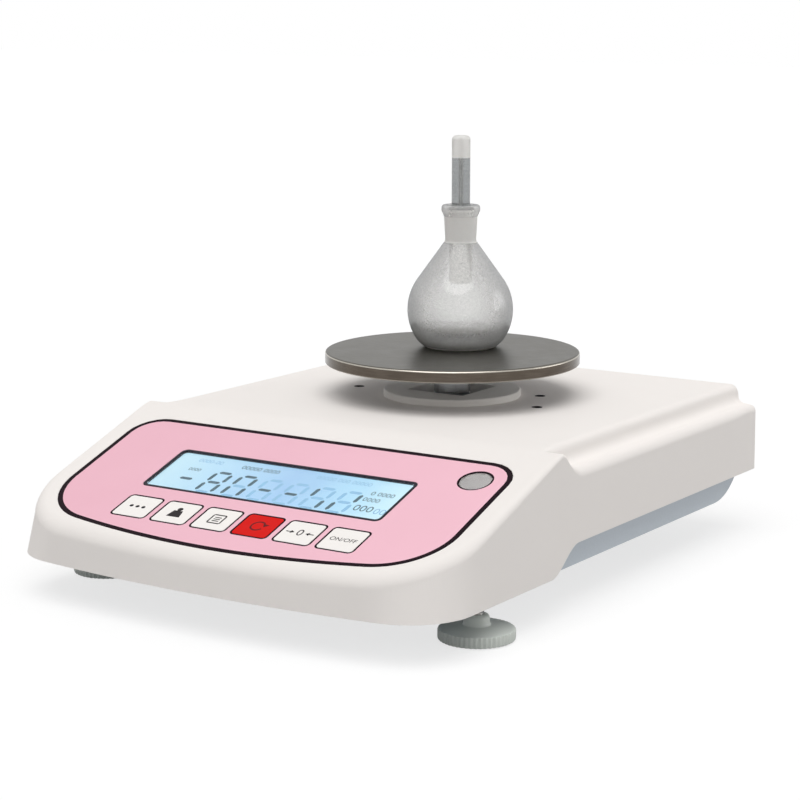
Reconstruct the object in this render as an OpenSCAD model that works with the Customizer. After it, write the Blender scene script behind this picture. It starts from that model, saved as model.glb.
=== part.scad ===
// Benchtop density meter: a top-pan balance with a sloping console, a round pan on a
// load cell, and a glass density bottle standing on the pan. Millimetres, +Z up, the
// bench at z = 0, the front towards -Y, X = 0 on the plane of symmetry.

/* [Housing] */
// Width across the outer side walls
housing_w = 222.3; // [212:0.1:250]
// Plan length of the sloping console, from its front edge to the bend
console_d = 106.9; // [102:0.1:118]
// Plan length of the level deck, from the bend to the rear wall
deck_d = 192.1; // [185:0.1:215]
// Height of the deck above the bench
deck_h = 70.4; // [68:0.1:80]
// Slope of the console
console_slope = 18.7; // [15:0.1:20]
// Width of the level shoulder beside the deck
shoulder_w = 10.3; // [6:0.1:12]
// Drop from the deck to the shoulder
shoulder_drop = 11.4; // [9:0.1:14]
// Length of the ramp from the console's corner down to the shoulder
wing_run = 17; // [12:0.5:22]
// Wall of the moulded upper housing
wall = 2.5; // [2:0.1:3]
// Plan radius of the console's front corners
corner_r = 38; // [28:1:44]
// Plan radius of the bowed front
bow_r = 650; // [500:10:1200]
// Plan radius of the rear corners
rear_corner_r = 4.5; // [4:0.1:8]
// Rounding of the console's front edge
front_edge_r = 5; // [3.5:0.1:6.5]
// Rounding of the console's side edges near the bend
side_edge_r = 2.2; // [1.5:0.1:3]
// Rounding of the deck's edges
deck_edge_r = 3.5; // [2:0.1:4]
// Rounding of the shoulder's outer edges
shoulder_edge_r = 3; // [1.5:0.1:4]
// Hollow fillet where the deck's side meets the shoulder
shoulder_fillet_r = 4; // [2:0.1:5]

/* [Skirt and tray] */
// Height of the body, from the front skirt's lower edge up to the deck
body_h = 52; // [50:0.1:54]
// Rise of the skirt's lower edge from the console to the rear
skirt_rise = 11.6; // [9:0.1:13]
// Distance in front of the bend where the skirt starts to rise
skirt_start = 9; // [5:0.5:14]
// Length over which the skirt rises
skirt_run = 23.5; // [16:0.5:30]
// Height of the tray's underside over the front skirt's edge
tray_lift = 0.8; // [0.4:0.1:1.5]
// Wall and floor of the base tray
tray_t = 2.5; // [2:0.1:3]
// Gap between the housing's inner wall and the tray
tray_gap = 1.15; // [0.6:0.05:1.6]
// Height of the tray's rim over the rear skirt's edge
tray_lap = 5; // [3:0.5:6]
// Distance from the rear wall to where the tray's underside starts to rise
tray_rise_at = 37.8; // [34:0.1:44]
// Radius of the tray's rising underside
tray_rise_r = 30; // [24:0.5:34]

/* [Pan] */
// Diameter of the weighing pan
pan_d = 120; // [100:1:140]
// Distance from the rear wall to the pan's centre
pan_from_rear = 101.5; // [96:0.1:110]
// Height of the pan's top over the deck
pan_rise = 21.4; // [19:0.1:28]
// Height of the pan's turned-down lip
pan_lip = 5.5; // [4.5:0.1:7]
// Sheet thickness of the pan
pan_sheet = 1; // [0.8:0.1:1.5]
// Rounding of the pan's upper edge
pan_edge_r = 1.2; // [0.6:0.1:2]
// Diameter of the hub under the pan
hub_d = 17; // [15:0.5:20]
// Diameter of the spigot that the hub drops over
spigot_d = 10; // [8:0.5:11]
// Length of the spigot
spigot_l = 11; // [8:0.5:12]
// Outer diameter of the collar ring round the hub
collar_d = 64.8; // [58:0.1:72]
// Height of the collar ring
collar_h = 3.35; // [2:0.05:5]
// Side of the collar ring's square opening
collar_opening = 31; // [26:0.5:34]
// Diameter of the four stand holes in the deck
stand_hole_d = 4.6; // [3:0.1:6]
// Spacing of the two stand holes beside the pan's centre
stand_side_spacing = 98.8; // [90:0.1:104]
// Distance of those two in front of the pan's centre
stand_side_back = 5.5; // [0:0.1:10]
// Spacing of the two stand holes behind the pan's centre
stand_rear_spacing = 72.6; // [68:0.1:80]
// Distance of those two behind the pan's centre
stand_rear_back = 20.2; // [16:0.1:26]

/* [Console panel] */
// Thickness of the printed overlay
panel_t = 0.8; // [0.6:0.1:1.2]
// Plastic left under the overlay
panel_backing = 2.2; // [1.8:0.1:3]
// Bare rim between the overlay and the housing's sides
panel_side_margin = 10.65; // [8:0.05:13]
// Distance from the bend to the overlay's upper edge, along the slope
panel_top_s = 13.8; // [11:0.1:16]
// Bare rim between the overlay and the console's front edge
panel_front_margin = 4.4; // [3:0.1:7]
// Radius of the overlay's lower corners
panel_corner_r = 32; // [24:1:36]
// Radius of the overlay's bowed lower edge
panel_bow_r = 420; // [350:10:800]
// Radius of the overlay's upper corners
panel_top_r = 15; // [8:0.5:20]
// Length of the display opening
lcd_w = 124; // [110:1:132]
// Height of the display opening, along the slope
lcd_l = 32.4; // [28:0.1:35]
// Display's centre, to the right of the middle
lcd_x = 0.7; // [-1:0.1:2]
// Display's centre, along the slope from the bend
lcd_s = 52.6; // [50:0.1:55]
// Width of the display's black frame
bezel_w = 1.3; // [1:0.1:2]
// Width of a key
key_w = 17.1; // [14:0.1:18.5]
// Height of a key, along the slope
key_l = 15.3; // [13:0.1:16]
// Spacing of the keys
key_pitch = 21.25; // [19.5:0.05:22]
// Centre of the row of keys, to the right of the middle
key_row_x = 2.8; // [0:0.1:4]
// Centre of the row of keys, along the slope from the bend
key_row_s = 85.1; // [84:0.1:86]
// Thickness of a key's plate
key_t = 0.5; // [0.4:0.05:0.6]
// Travel of a key
key_travel = 0.4; // [0.2:0.05:0.5]
// Diameter of the key's stem
key_stem_d = 5; // [4:0.1:6]
// Diameter of the level's round window
vial_d = 14.2; // [12:0.1:15.5]
// Distance of the level's centre from the housing's side
vial_from_side = 25.95; // [24.15:0.05:29.15]
// Level's centre, along the slope from the bend
vial_s = 29; // [28:0.1:31]
// Depth of the level's cup
vial_cup_l = 7; // [5:0.5:9]

/* [Display] */
// Thickness of the display glass
lcd_glass_t = 2.2; // [1.5:0.1:3]
// Thickness of the backlight
backlight_t = 3; // [2:0.1:3.5]
// Thickness of the circuit boards
board_t = 1.6; // [1.2:0.1:2]
// Width of the display board
display_board_w = 150; // [146:1:156]
// Length of the display board, along the slope
display_board_l = 68; // [66:1:69]
// Height of a key switch
switch_h = 3.5; // [3:0.1:4.3]
// Side of a key switch
switch_w = 6; // [5:0.5:8]

/* [Feet] */
// Diameter of the levelling foot's wheel
wheel_d = 32; // [26:0.5:34]
// Thickness of the wheel's fluted rim
wheel_rim_h = 4.8; // [4:0.1:6]
// Number of flutes on the wheel
wheel_flutes = 36; // [24:1:44]
// Depth of the flutes
flute_depth = 0.5; // [0.2:0.1:0.8]
// Height of the wheel's conical top
wheel_cone_h = 1.2; // [0.5:0.1:2]
// Height of the wheel's hub
wheel_hub_h = 5; // [4:0.1:5.5]
// Diameter of the wheel's hub
wheel_hub_d = 11.4; // [10:0.1:13]
// Diameter of the screw
stud_d = 6; // [5:0.5:6.5]
// Length of the screw above the tray's underside
stud_reach = 17; // [14:0.5:20]
// Diameter of the wheel's still pad
pad_d = 22; // [16:0.5:24]
// Distance of the levelling feet from the housing's sides
foot_inset = 13.95; // [13.5:0.05:18]
// Distance of the levelling feet from the front edge
foot_from_front = 61.5; // [56:0.5:68]
// Length of the threaded insert
insert_l = 12; // [8:0.5:13]
// Spacing of the rear feet
rear_foot_spacing = 116; // [100:1:120]
// Distance of the rear feet from the rear wall
rear_foot_from_rear = 51.5; // [49:0.5:60]
// Diameter of the rear feet
rear_foot_d = 20; // [16:0.5:22]

/* [Weighing cell] */
// Length of the weighing cell
cell_l = 80; // [76:1:90]
// Width of the weighing cell
cell_w = 16; // [14:0.5:20]
// Height of the weighing cell
cell_h = 22; // [20:0.5:23]
// Height of the spacer under the cell's fixed end
cell_spacer_h = 5.5; // [4:0.1:6]
// Radius of the cell's two bores
cell_bore_r = 7; // [5:0.1:8]
// Spacing of the cell's two bores
cell_bore_pitch = 24; // [18:0.5:28]
// Length of the cell's clamped ends
cell_end_l = 22; // [20:0.5:23]
// Spacing of the two screws in each end of the cell
cell_screw_pitch = 11; // [10:0.5:12]
// Thickness of the pan carrier's plate
carrier_t = 4; // [3:0.1:4.5]
// Width of the pan carrier's plate
carrier_w = 30; // [26:0.5:36]

/* [Main board] */
// Width of the main board
main_board_w = 60; // [56:1:64]
// Length of the main board
main_board_l = 104; // [96:1:110]
// Height of the board's standoffs over the tray's floor
standoff_h = 16.3; // [15:0.1:19]
// Distance of the board's outer edge from the housing's side
main_board_from_side = 27.15; // [25:0.05:29]
// Distance of the power inlet from the board's inner edge
inlet_in = 12; // [10:0.5:14]
// Distance of the data port from the board's inner edge
port_in = 40; // [38:0.5:42]

/* [Density bottle] */
// Body diameter of the bottle
bottle_d = 50.1; // [44:0.1:56]
// Height of the widest part of the body over the pan
bottle_bulge_h = 17.6; // [15:0.1:19]
// Radius of the rounding between the body and the foot ring
bottle_foot_r = 14; // [10:0.5:18]
// Height of the foot of the neck
neck_foot_h = 50.2; // [47:0.1:54]
// Height of the rim
rim_h = 67.3; // [64:0.1:72]
// Outer diameter at the foot of the neck
neck_foot_d = 14; // [13:0.1:16]
// Outer diameter under the rim
neck_top_d = 15.8; // [15:0.1:18]
// Diameter of the rim
rim_d = 18.2; // [17:0.1:20]
// Glass wall of the bottle
glass_t = 1.3; // [1:0.1:1.6]
// Overall height of the bottle with its stopper
stopper_top_h = 100; // [94:0.1:108]
// Diameter of the stopper's rod
stopper_rod_d = 8.2; // [7:0.1:9]
// Height of the lower end of the stopper
stopper_tail_h = 30; // [26:0.5:40]
// Diameter of the capillary
capillary_d = 1.5; // [1:0.1:2]
// Bottle's place to the right of the pan's centre
bottle_x = -2.7; // [-10:0.1:10]
// Bottle's place behind the pan's centre
bottle_back = 11.2; // [0:0.1:14]

/* [Fits] */
// Gap between pieces that drop or slide over each other
slip = 0.3; // [0.2:0.05:0.35]
// Gap under a piece that rests on another
seat = 0.2; // [0.1:0.05:0.25]
// Radial gap of a screw in its thread
thread_gap = 0.05; // [0.03:0.01:0.08]
// Diameter of the case screws
case_screw_d = 3; // [2.5:0.1:3.5]
// Length of the case screws' shanks
case_screw_l = 12; // [10:0.5:14]
// Diameter of the cell's screws
cell_screw_d = 4; // [3.5:0.1:4.5]
// Diameter of the board screws
board_screw_d = 2.5; // [2:0.1:2.8]

/* [Hidden] */

// Facets round a full circle of a true curve, and of a curve inside a hull
round_fn = 64;
hull_fn = 24;
// Steps in which an outline's corners and bow are drawn
corner_steps = 10;
bow_steps = 12;
small_steps = 4;
// Length by which a cutter runs past what it cuts
past = 1;
// Length of a flat end on a hull's thin children
sliver = 0.1;

white = "#f2efe9";
tray_grey = "#a9b1b8";
pink = "#f6bccb";
key_white = "#f4f1ec";
key_red = "#e0261e";
trim_black = "#2a1a20";
steel = "#b9bab8";
aluminium = "#c9ccce";
board_green = "#2f6b46";
foot_grey = "#a9aea8";
rubber_black = "#2c2d2e";
brass = "#b9974e";
display_blue = "#a9d8ec";
light_white = "#eef3f5";
switch_grey = "#3c3c40";
cup_grey = "#b4b2b0";
ribbon_grey = "#8d9298";
glass_tint = [0.85, 0.9, 0.92, 0.45];

// Plan places
half_w = housing_w / 2;
rear_y = (console_d + deck_d) / 2;
front_y = -rear_y;
bend_y = front_y + console_d;
pan_y = rear_y - pan_from_rear;
deck_half = half_w - shoulder_w;
wing_y = bend_y + wing_run;
skirt_y0 = bend_y - skirt_start;
foot_x = half_w - foot_inset;
foot_y = front_y + foot_from_front;
rear_foot_y = rear_y - rear_foot_from_rear;
main_board_inner = half_w - main_board_from_side - main_board_w;
inlet_x = main_board_inner + inlet_in;
port_x = main_board_inner + port_in;
vial_x = half_w - vial_from_side;

// Small steps between the levels
ledge_step = 0.6;
plate_step = 0.8;
hub_lift = 1.5;
carrier_pad_t = 1.5;

// Levels
skirt_h = deck_h - body_h;
tray_z = skirt_h + tray_lift;
floor_z = tray_z + tray_t;
skirt_rear_z = skirt_h + skirt_rise;
ledge_z = skirt_rear_z + ledge_step;
tray_rim_z = skirt_rear_z + tray_lap;
shoulder_z = deck_h - shoulder_drop;
console_wall = panel_t + panel_backing;
pan_top_z = deck_h + pan_rise;
pan_lip_z = pan_top_z - pan_lip;
plate_top_z = pan_top_z - pan_sheet;
plate_t = pan_lip - pan_sheet - plate_step;
hub_foot_z = deck_h + hub_lift;
cell_z = floor_z + cell_spacer_h;
carrier_z = cell_z + cell_h + carrier_pad_t;
cell_front_y = pan_y - cell_l / 2;
cell_rear_y = pan_y + cell_l / 2;
rear_inner_y = rear_y - wall;

// The console's surface, and its underside, at a place y
function slope_z(y) = deck_h - (bend_y - y) * tan(console_slope);
function under_slope_z(y, depth) = slope_z(y) - depth / cos(console_slope);
function ceiling_z(y) = y < bend_y ? slope_z(y) : deck_h;
slope_l = console_d / cos(console_slope);

function arc(cx, cy, r, a0, a1, n) =
    [for (i = [0:n]) let (a = a0 + (a1 - a0) * i / n) [cx + r * cos(a), cy + r * sin(a)]];
function inner_arc(cx, cy, r, a0, a1, n) =
    [for (i = [1:n - 1]) let (a = a0 + (a1 - a0) * i / n) [cx + r * cos(a), cy + r * sin(a)]];

// Shield shape: straight sides, a bowed front with large corners, small rear corners.
function shield_cy(hw, y0, rf, rb) = y0 + rb - sqrt(pow(rb - rf, 2) - pow(hw - rf, 2));
function shield_a(hw, rf, rb) = asin((hw - rf) / (rb - rf));
function shield(hw, y0, y1, rf, rb, rr) =
    let (cx = hw - rf, cy = shield_cy(hw, y0, rf, rb), a = shield_a(hw, rf, rb))
    concat(
        arc(-cx, cy, rf, 180, 270 - a, corner_steps),
        inner_arc(0, y0 + rb, rb, 270 - a, 270 + a, bow_steps),
        arc(cx, cy, rf, 270 + a, 360, corner_steps),
        arc(hw - rr, y1 - rr, rr, 0, 90, small_steps),
        arc(rr - hw, y1 - rr, rr, 90, 180, small_steps)
    );
function housing_plan(inset) =
    shield(half_w - inset, front_y + inset, rear_y - inset, corner_r - inset,
           bow_r - inset, max(rear_corner_r - inset, 0.4));
function panel_plan(inset) =
    shield(half_w - panel_side_margin - inset, -(slope_l - panel_front_margin) + inset,
           -panel_top_s - inset, panel_corner_r - inset, panel_bow_r - inset,
           panel_top_r - inset);
function rounded(w, l, r) = concat(
    arc(w / 2 - r, l / 2 - r, r, 0, 90, small_steps),
    arc(r - w / 2, l / 2 - r, r, 90, 180, small_steps),
    arc(r - w / 2, r - l / 2, r, 180, 270, small_steps),
    arc(w / 2 - r, r - l / 2, r, 270, 360, small_steps)
);

// Places children on the console: x across, s down the slope, depth below the surface.
module on_console(x, s, depth) {
    translate([0, bend_y, deck_h]) rotate([console_slope, 0, 0]) translate([x, -s, -depth])
        children();
}

// A side profile of [y, z] points, swept across the width w.
module profile(points, w) {
    rotate([90, 0, 90]) linear_extrude(w, center = true) polygon(points);
}

module tube(r, bore, h) {
    difference() {
        cylinder(r = r, h = h, $fn = round_fn);
        translate([0, 0, -past]) cylinder(r = bore, h = h + 2 * past, $fn = round_fn);
    }
}

// Upper housing --------------------------------------------------------------------

// Share of the change from front to side rounding that the corner takes
corner_share = 0.6;
// Steps of the bow, in degrees, at which a ball sits on the console's front edge
bow_ball_pitch = 2;

// Balls along the console's rim, whose radius shrinks from the front towards the bend.
function rim_balls(side) =
    let (cx = half_w - corner_r, cy = shield_cy(half_w, front_y, corner_r, bow_r),
         a0 = 270 + shield_a(half_w, corner_r, bow_r))
    [for (i = [0:corner_steps]) let (
        t = i / corner_steps, a = a0 + (360 - a0) * t,
        e = front_edge_r + (side_edge_r - front_edge_r) * t * corner_share
    ) [side * (cx + (corner_r - e) * cos(a)), cy + (corner_r - e) * sin(a), e]];

module ball(place) {
    y = place[1];
    e = place[2];
    translate([place[0], y, under_slope_z(y, e)]) sphere(r = e, $fn = hull_fn);
}

module console_skin() {
    hull() {
        for (side = [-1, 1]) {
            for (place = rim_balls(side)) ball(place);
            ball([side * (half_w - side_edge_r), bend_y, side_edge_r]);
            translate([side * (half_w - shoulder_edge_r), wing_y, shoulder_z - shoulder_edge_r])
                sphere(r = shoulder_edge_r, $fn = hull_fn);
        }
        for (i = [-2:2]) let (r = bow_r - front_edge_r, a = 270 + i * bow_ball_pitch)
            ball([r * cos(a), front_y + bow_r + r * sin(a), front_edge_r]);
        translate([-deck_half, bend_y - sliver, deck_h - sliver * 2])
            cube([deck_half * 2, sliver, sliver * 2 - sliver * tan(console_slope)]);
        translate([0, 0, skirt_h]) linear_extrude(sliver)
            polygon(shield(half_w, front_y, wing_y, corner_r, bow_r, sliver));
    }
}

// A level block with a rounded top edge and rounded rear corners.
module rounded_block(hw, y0, z0, z1, edge) {
    hull() {
        for (side = [-1, 1]) {
            translate([side * (hw - rear_corner_r), rear_y - rear_corner_r, 0])
                rotate_extrude($fn = hull_fn) {
                    translate([0, z0]) square([rear_corner_r, z1 - z0 - edge]);
                    translate([rear_corner_r - edge, z1 - edge]) intersection() {
                        circle(r = edge, $fn = hull_fn);
                        square(edge);
                    }
                }
            translate([side * (hw - edge), y0, z1 - edge]) rotate([-90, 0, 0])
                cylinder(r = edge, h = sliver, $fn = hull_fn);
        }
        translate([-hw, y0, z0]) cube([2 * hw, rear_y - rear_corner_r - y0, sliver]);
    }
}

// Places, as shares of the wing's run, where the fillets and the shoulder's block begin
fillet_start = 0.3;
shoulder_start = 0.6;
// Height of the deck's block below the shoulder
deck_root = 4;

module shoulder_fillets() {
    y0 = bend_y + wing_run * fillet_start;
    for (side = [-1, 1])
        translate([side * (deck_half - sliver), y0, shoulder_z - sliver]) rotate([90, 0, 180])
            mirror([side < 0 ? 0 : 1, 0, 0]) linear_extrude(rear_y - past - y0)
                difference() {
                    square(shoulder_fillet_r + sliver);
                    translate([1, 1] * (shoulder_fillet_r + sliver))
                        circle(r = shoulder_fillet_r, $fn = round_fn);
                }
}

// The hollow under console and deck, less what the wings and shoulders take at each side.
module housing_cavity() {
    level_y = bend_y + (console_wall / cos(console_slope) - wall) / tan(console_slope);
    lip_z = under_slope_z(front_y, console_wall);
    wing_foot = [wing_y - wall, shoulder_z - wall];
    wing_head = [bend_y - past, under_slope_z(bend_y - past, console_wall)];
    over_wing = 2 * wing_head - wing_foot;
    intersection() {
        translate([0, 0, skirt_h - past]) linear_extrude(deck_h)
            polygon(housing_plan(wall));
        difference() {
            profile([[front_y, 0], [rear_y, 0], [rear_y, deck_h - wall],
                     [level_y, deck_h - wall], [front_y, lip_z]], housing_w);
            for (side = [-1, 1]) translate([side * (deck_half - wall + housing_w / 2), 0, 0])
                profile([wing_foot, over_wing, [rear_y + past, over_wing[1]],
                         [rear_y + past, wing_foot[1]]], housing_w);
        }
    }
}

// Everything below the skirt's lower edge, which climbs in an S between two levels.
module below_skirt() {
    curve = [for (i = [0:10]) let (t = i / 10)
        [skirt_y0 + skirt_run * t, skirt_h + skirt_rise * (1 - cos(180 * t)) / 2]];
    profile(concat([[skirt_y0, 0]], curve,
                   [[rear_y + past, skirt_rear_z], [rear_y + past, 0]]), housing_w + 2 * past);
}

// Screw posts that stand down from the ceiling to the tray's bosses: one in each front
// corner, and two behind each other along each side
post_r = 4.6;
boss_h = 4;
boss_margin = 0.6;
head_recess = 3;
front_post_inset = 26;
front_post_back = 31;
side_post_inset = 18.5;
side_post_back = 27;
rear_post_forward = 50;
case_posts = [
    [half_w - front_post_inset, front_y + front_post_back],
    [half_w - side_post_inset, bend_y + side_post_back],
    [half_w - side_post_inset, rear_y - rear_post_forward]
];

module at_case_posts(z) {
    for (side = [-1, 1], p = case_posts) translate([side * p[0], p[1], z]) children();
}

// The display board hangs on four posts, under both the display and the keys
display_post_r = 3.2;
board_gap = 0.6;
board_hole_in = 4;
display_board_up = 2.4;
display_board_depth = console_wall + slip + lcd_glass_t + backlight_t + board_gap;
display_board_s = (lcd_s + key_row_s) / 2 - display_board_up;
display_post_x = display_board_w / 2 - board_hole_in;
display_post_s = display_board_l / 2 - board_hole_in;

module at_display_posts(depth) {
    for (side = [-1, 1], end = [-1, 1])
        on_console(side * display_post_x, display_board_s + end * display_post_s, depth)
            children();
}

// Each post's top is buried in the ceiling above it.
module posts() {
    for (side = [-1, 1], p = case_posts) {
        z0 = floor_z + boss_h + seat;
        translate([side * p[0], p[1], z0])
            cylinder(r = post_r, h = ceiling_z(p[1] - post_r) - wall / 2 - z0, $fn = round_fn);
    }
    at_display_posts(display_board_depth - seat)
        cylinder(r = display_post_r, h = display_board_depth - seat - panel_t - panel_backing / 2,
                 $fn = round_fn);
}

// The collar's spigot goes round the corners of its square opening
collar_spigot_wall = 2.2;
collar_spigot_r = collar_opening * sqrt(0.5) + collar_spigot_wall;

// The rear sockets stand on the main board, behind their openings in the wall
socket_h = 6.4;
socket_z = floor_z + standoff_h + board_t + socket_h;
inlet_r = 4.1;
port_flange_w = 31;
port_flange_h = 12.4;
plug_room = 0.9;
socket_corner_r = 1.5;

// Stands children upright in the rear wall, z pointing out of it.
module in_rear_wall(x, y) {
    translate([x, y, socket_z]) rotate([-90, 0, 0]) mirror([0, 1, 0]) children();
}

module rear_openings() {
    in_rear_wall(-inlet_x, rear_inner_y - past)
        cylinder(r = inlet_r + slip, h = wall + 2 * past, $fn = round_fn);
    in_rear_wall(-port_x, rear_inner_y - past) linear_extrude(wall + 2 * past)
        polygon(rounded(port_flange_w + 2 * plug_room, port_flange_h + 2 * plug_room,
                        socket_corner_r));
}

// Gap left under a key when it is pressed, and over its switch at rest
key_gap = 0.2;
key_corner_r = 1.5;
lcd_corner_r = 3;

module key_wells() {
    well = key_t + key_travel + key_gap;
    for (i = [0:5]) on_console(key_x(i), key_row_s, well) {
        linear_extrude(well + past)
            polygon(rounded(key_w + 2 * slip, key_l + 2 * slip, key_corner_r + slip));
        translate([0, 0, -console_wall])
            cylinder(r = key_stem_d / 2 + slip, h = console_wall + past, $fn = round_fn);
    }
}

module stand_holes() {
    places = [[stand_side_spacing / 2, -stand_side_back],
              [stand_rear_spacing / 2, stand_rear_back]];
    for (side = [-1, 1], p = places)
        translate([side * p[0], pan_y + p[1], deck_h - wall - past])
            cylinder(r = stand_hole_d / 2, h = wall + 2 * past, $fn = round_fn);
}

module upper_housing() {
    color(white) difference() {
        union() {
            difference() {
                union() {
                    console_skin();
                    rounded_block(deck_half, bend_y, shoulder_z - deck_root, deck_h,
                                  deck_edge_r);
                    rounded_block(half_w, bend_y + wing_run * shoulder_start, skirt_h,
                                  shoulder_z, shoulder_edge_r);
                    shoulder_fillets();
                }
                housing_cavity();
                below_skirt();
            }
            posts();
        }
        on_console(0, 0, panel_t) linear_extrude(panel_t + past) polygon(panel_plan(-slip / 2));
        on_console(lcd_x, lcd_s, console_wall + past)
            linear_extrude(console_wall + 2 * past)
                polygon(rounded(lcd_w + slip, lcd_l + slip, lcd_corner_r));
        key_wells();
        on_console(vial_x, vial_s, console_wall + past)
            cylinder(r = vial_d / 2, h = console_wall + 2 * past, $fn = round_fn);
        stand_holes();
        translate([0, pan_y, deck_h - wall - past])
            cylinder(r = collar_spigot_r + slip, h = wall + 2 * past, $fn = round_fn);
        rear_openings();
        at_case_posts(floor_z + boss_h)
            cylinder(r = case_screw_d / 2 + thread_gap, h = case_screw_l, $fn = round_fn);
        at_display_posts(display_board_depth)
            cylinder(r = board_screw_d / 2 + thread_gap, h = board_screw_grip + seat, $fn = round_fn);
    }
}

// Base tray ------------------------------------------------------------------------

tray_inset = wall + tray_gap;
rise_y = rear_y - tray_rise_at;
insert_wall = 1.6;
insert_r = stud_d / 2 + insert_wall;
foot_boss_r = insert_r + 2;
rear_boss_r = 5;
rear_boss_h = 5;
board_post_r = 3.6;
board_post_in = 5;
board_post_from_rise = 10;
stop_boss_r = 6;
stop_boss_h = cell_spacer_h / 2;
cell_fixed_y = cell_rear_y - cell_end_l / 2;
cell_free_y = cell_front_y + cell_end_l / 2;

// Side profile of the tray's outside (t = 0) or inside (t = tray_t).
function tray_profile(t) =
    let (rim = tray_rim_z + (t > 0 ? past : 0), centre_z = tray_z + tray_rise_r,
         r = tray_rise_r - t, end = acos((centre_z - ledge_z - t) / r),
         slack = t > 0 ? -past : 1, top_y = bend_y - (slope_z(bend_y) - rim
             - (console_wall + slack) / cos(console_slope)) / tan(console_slope))
    concat(
        [[front_y, tray_z + t]],
        arc(rise_y, centre_z, r, 270, 270 + end, 8),
        [[rear_y, ledge_z + t], [rear_y, rim], [top_y, rim],
         [front_y, under_slope_z(front_y, console_wall + slack)]]
    );

// The main board's posts stand at its front edge and where the tray starts to rise.
module at_board_posts(z) {
    for (x = [main_board_inner + board_post_in, main_board_inner + main_board_w - board_post_in],
         y = [board_front_y + board_post_in, rise_y - board_post_from_rise])
        translate([-x, y, z]) children();
}

module at_cell_screws(y, z) {
    for (end = [-1, 1]) translate([0, y + end * cell_screw_pitch / 2, z]) children();
}

module base_tray() {
    color(tray_grey) difference() {
        union() {
            difference() {
                intersection() {
                    linear_extrude(deck_h) polygon(housing_plan(tray_inset));
                    profile(tray_profile(0), housing_w);
                }
                intersection() {
                    linear_extrude(deck_h) polygon(housing_plan(tray_inset + tray_t));
                    profile(tray_profile(tray_t), housing_w);
                }
            }
            at_case_posts(tray_z + tray_t / 2)
                cylinder(r = post_r + boss_margin, h = tray_t / 2 + boss_h, $fn = round_fn);
            for (side = [-1, 1]) {
                translate([side * foot_x, foot_y, tray_z])
                    cylinder(r = foot_boss_r, h = insert_l + 1, $fn = round_fn);
                translate([side * rear_foot_spacing / 2, rear_foot_y, tray_z + tray_t / 2])
                    cylinder(r = rear_boss_r, h = tray_t / 2 + rear_boss_h, $fn = round_fn);
            }
            at_board_posts(tray_z + tray_t / 2)
                cylinder(r = board_post_r, h = tray_t / 2 + standoff_h - seat, $fn = round_fn);
            translate([0, cell_free_y, tray_z + tray_t / 2])
                cylinder(r = stop_boss_r, h = tray_t / 2 + stop_boss_h, $fn = round_fn);
        }
        at_case_posts(tray_z - past) {
            cylinder(r = case_screw_d / 2 + slip, h = floor_z, $fn = round_fn);
            cylinder(r = case_screw_d + slip, h = head_recess + past, $fn = round_fn);
        }
        for (side = [-1, 1]) {
            translate([side * foot_x, foot_y, tray_z - past])
                cylinder(r = insert_r + thread_gap, h = insert_l + 2 + 2 * past, $fn = round_fn);
            translate([side * rear_foot_spacing / 2, rear_foot_y, tray_z - past])
                cylinder(r = foot_screw_r + thread_gap, h = foot_screw_grip + 2 * past,
                         $fn = round_fn);
        }
        at_board_posts(floor_z + standoff_h - seat - board_screw_grip - past)
            cylinder(r = board_screw_d / 2 + thread_gap, h = board_screw_grip + 2 * past,
                     $fn = round_fn);
        at_cell_screws(cell_fixed_y, tray_z - past)
            cylinder(r = cell_screw_d / 2 + slip, h = tray_t + 2 * past, $fn = round_fn);
        translate([0, cell_free_y, tray_z - past])
            cylinder(r = stop_r + thread_gap, h = floor_z, $fn = round_fn);
    }
}

// Console fittings -----------------------------------------------------------------

function key_x(i) = key_row_x + (i - 2.5) * key_pitch;

module front_panel() {
    color(pink) on_console(0, 0, panel_t) linear_extrude(panel_t) difference() {
        polygon(panel_plan(0));
        translate([lcd_x, -lcd_s]) polygon(rounded(lcd_w + slip, lcd_l + slip, lcd_corner_r));
        for (i = [0:5]) translate([key_x(i), -key_row_s])
            polygon(rounded(key_w + slip, key_l + slip, key_corner_r + slip / 2));
        translate([vial_x, -vial_s]) circle(r = vial_d / 2, $fn = round_fn);
    }
}

module lcd_bezel() {
    color(trim_black) on_console(lcd_x, lcd_s, console_wall + seat)
        linear_extrude(console_wall + seat) difference() {
            polygon(rounded(lcd_w, lcd_l, lcd_corner_r));
            polygon(rounded(lcd_w - 2 * bezel_w, lcd_l - 2 * bezel_w, lcd_corner_r - 1));
        }
}

// The clear window in the bezel, set a hair below the overlay.
window_t = 0.6;
window_sink = 0.1;
module lcd_window() {
    margin = 2 * bezel_w + slip;
    color(glass_tint) on_console(lcd_x, lcd_s, window_t) linear_extrude(window_t - window_sink)
        polygon(rounded(lcd_w - margin, lcd_l - margin, lcd_corner_r - 1));
}

// The glass and its light reach across the board to a gap before the posts
glass_gap = 2.8;
lcd_glass_w = display_board_w - 2 * (board_hole_in + display_post_r + glass_gap);
lcd_glass_margin = 3;
backlight_margin = 1.5;
module lcd_glass() {
    color(display_blue) on_console(lcd_x, lcd_s, console_wall + slip + lcd_glass_t)
        linear_extrude(lcd_glass_t)
            square([lcd_glass_w, lcd_l + 2 * lcd_glass_margin], center = true);
}

module backlight() {
    color(light_white) on_console(lcd_x, lcd_s, display_board_depth - slip)
        linear_extrude(backlight_t)
            square([lcd_glass_w, lcd_l + 2 * backlight_margin], center = true);
}

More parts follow.
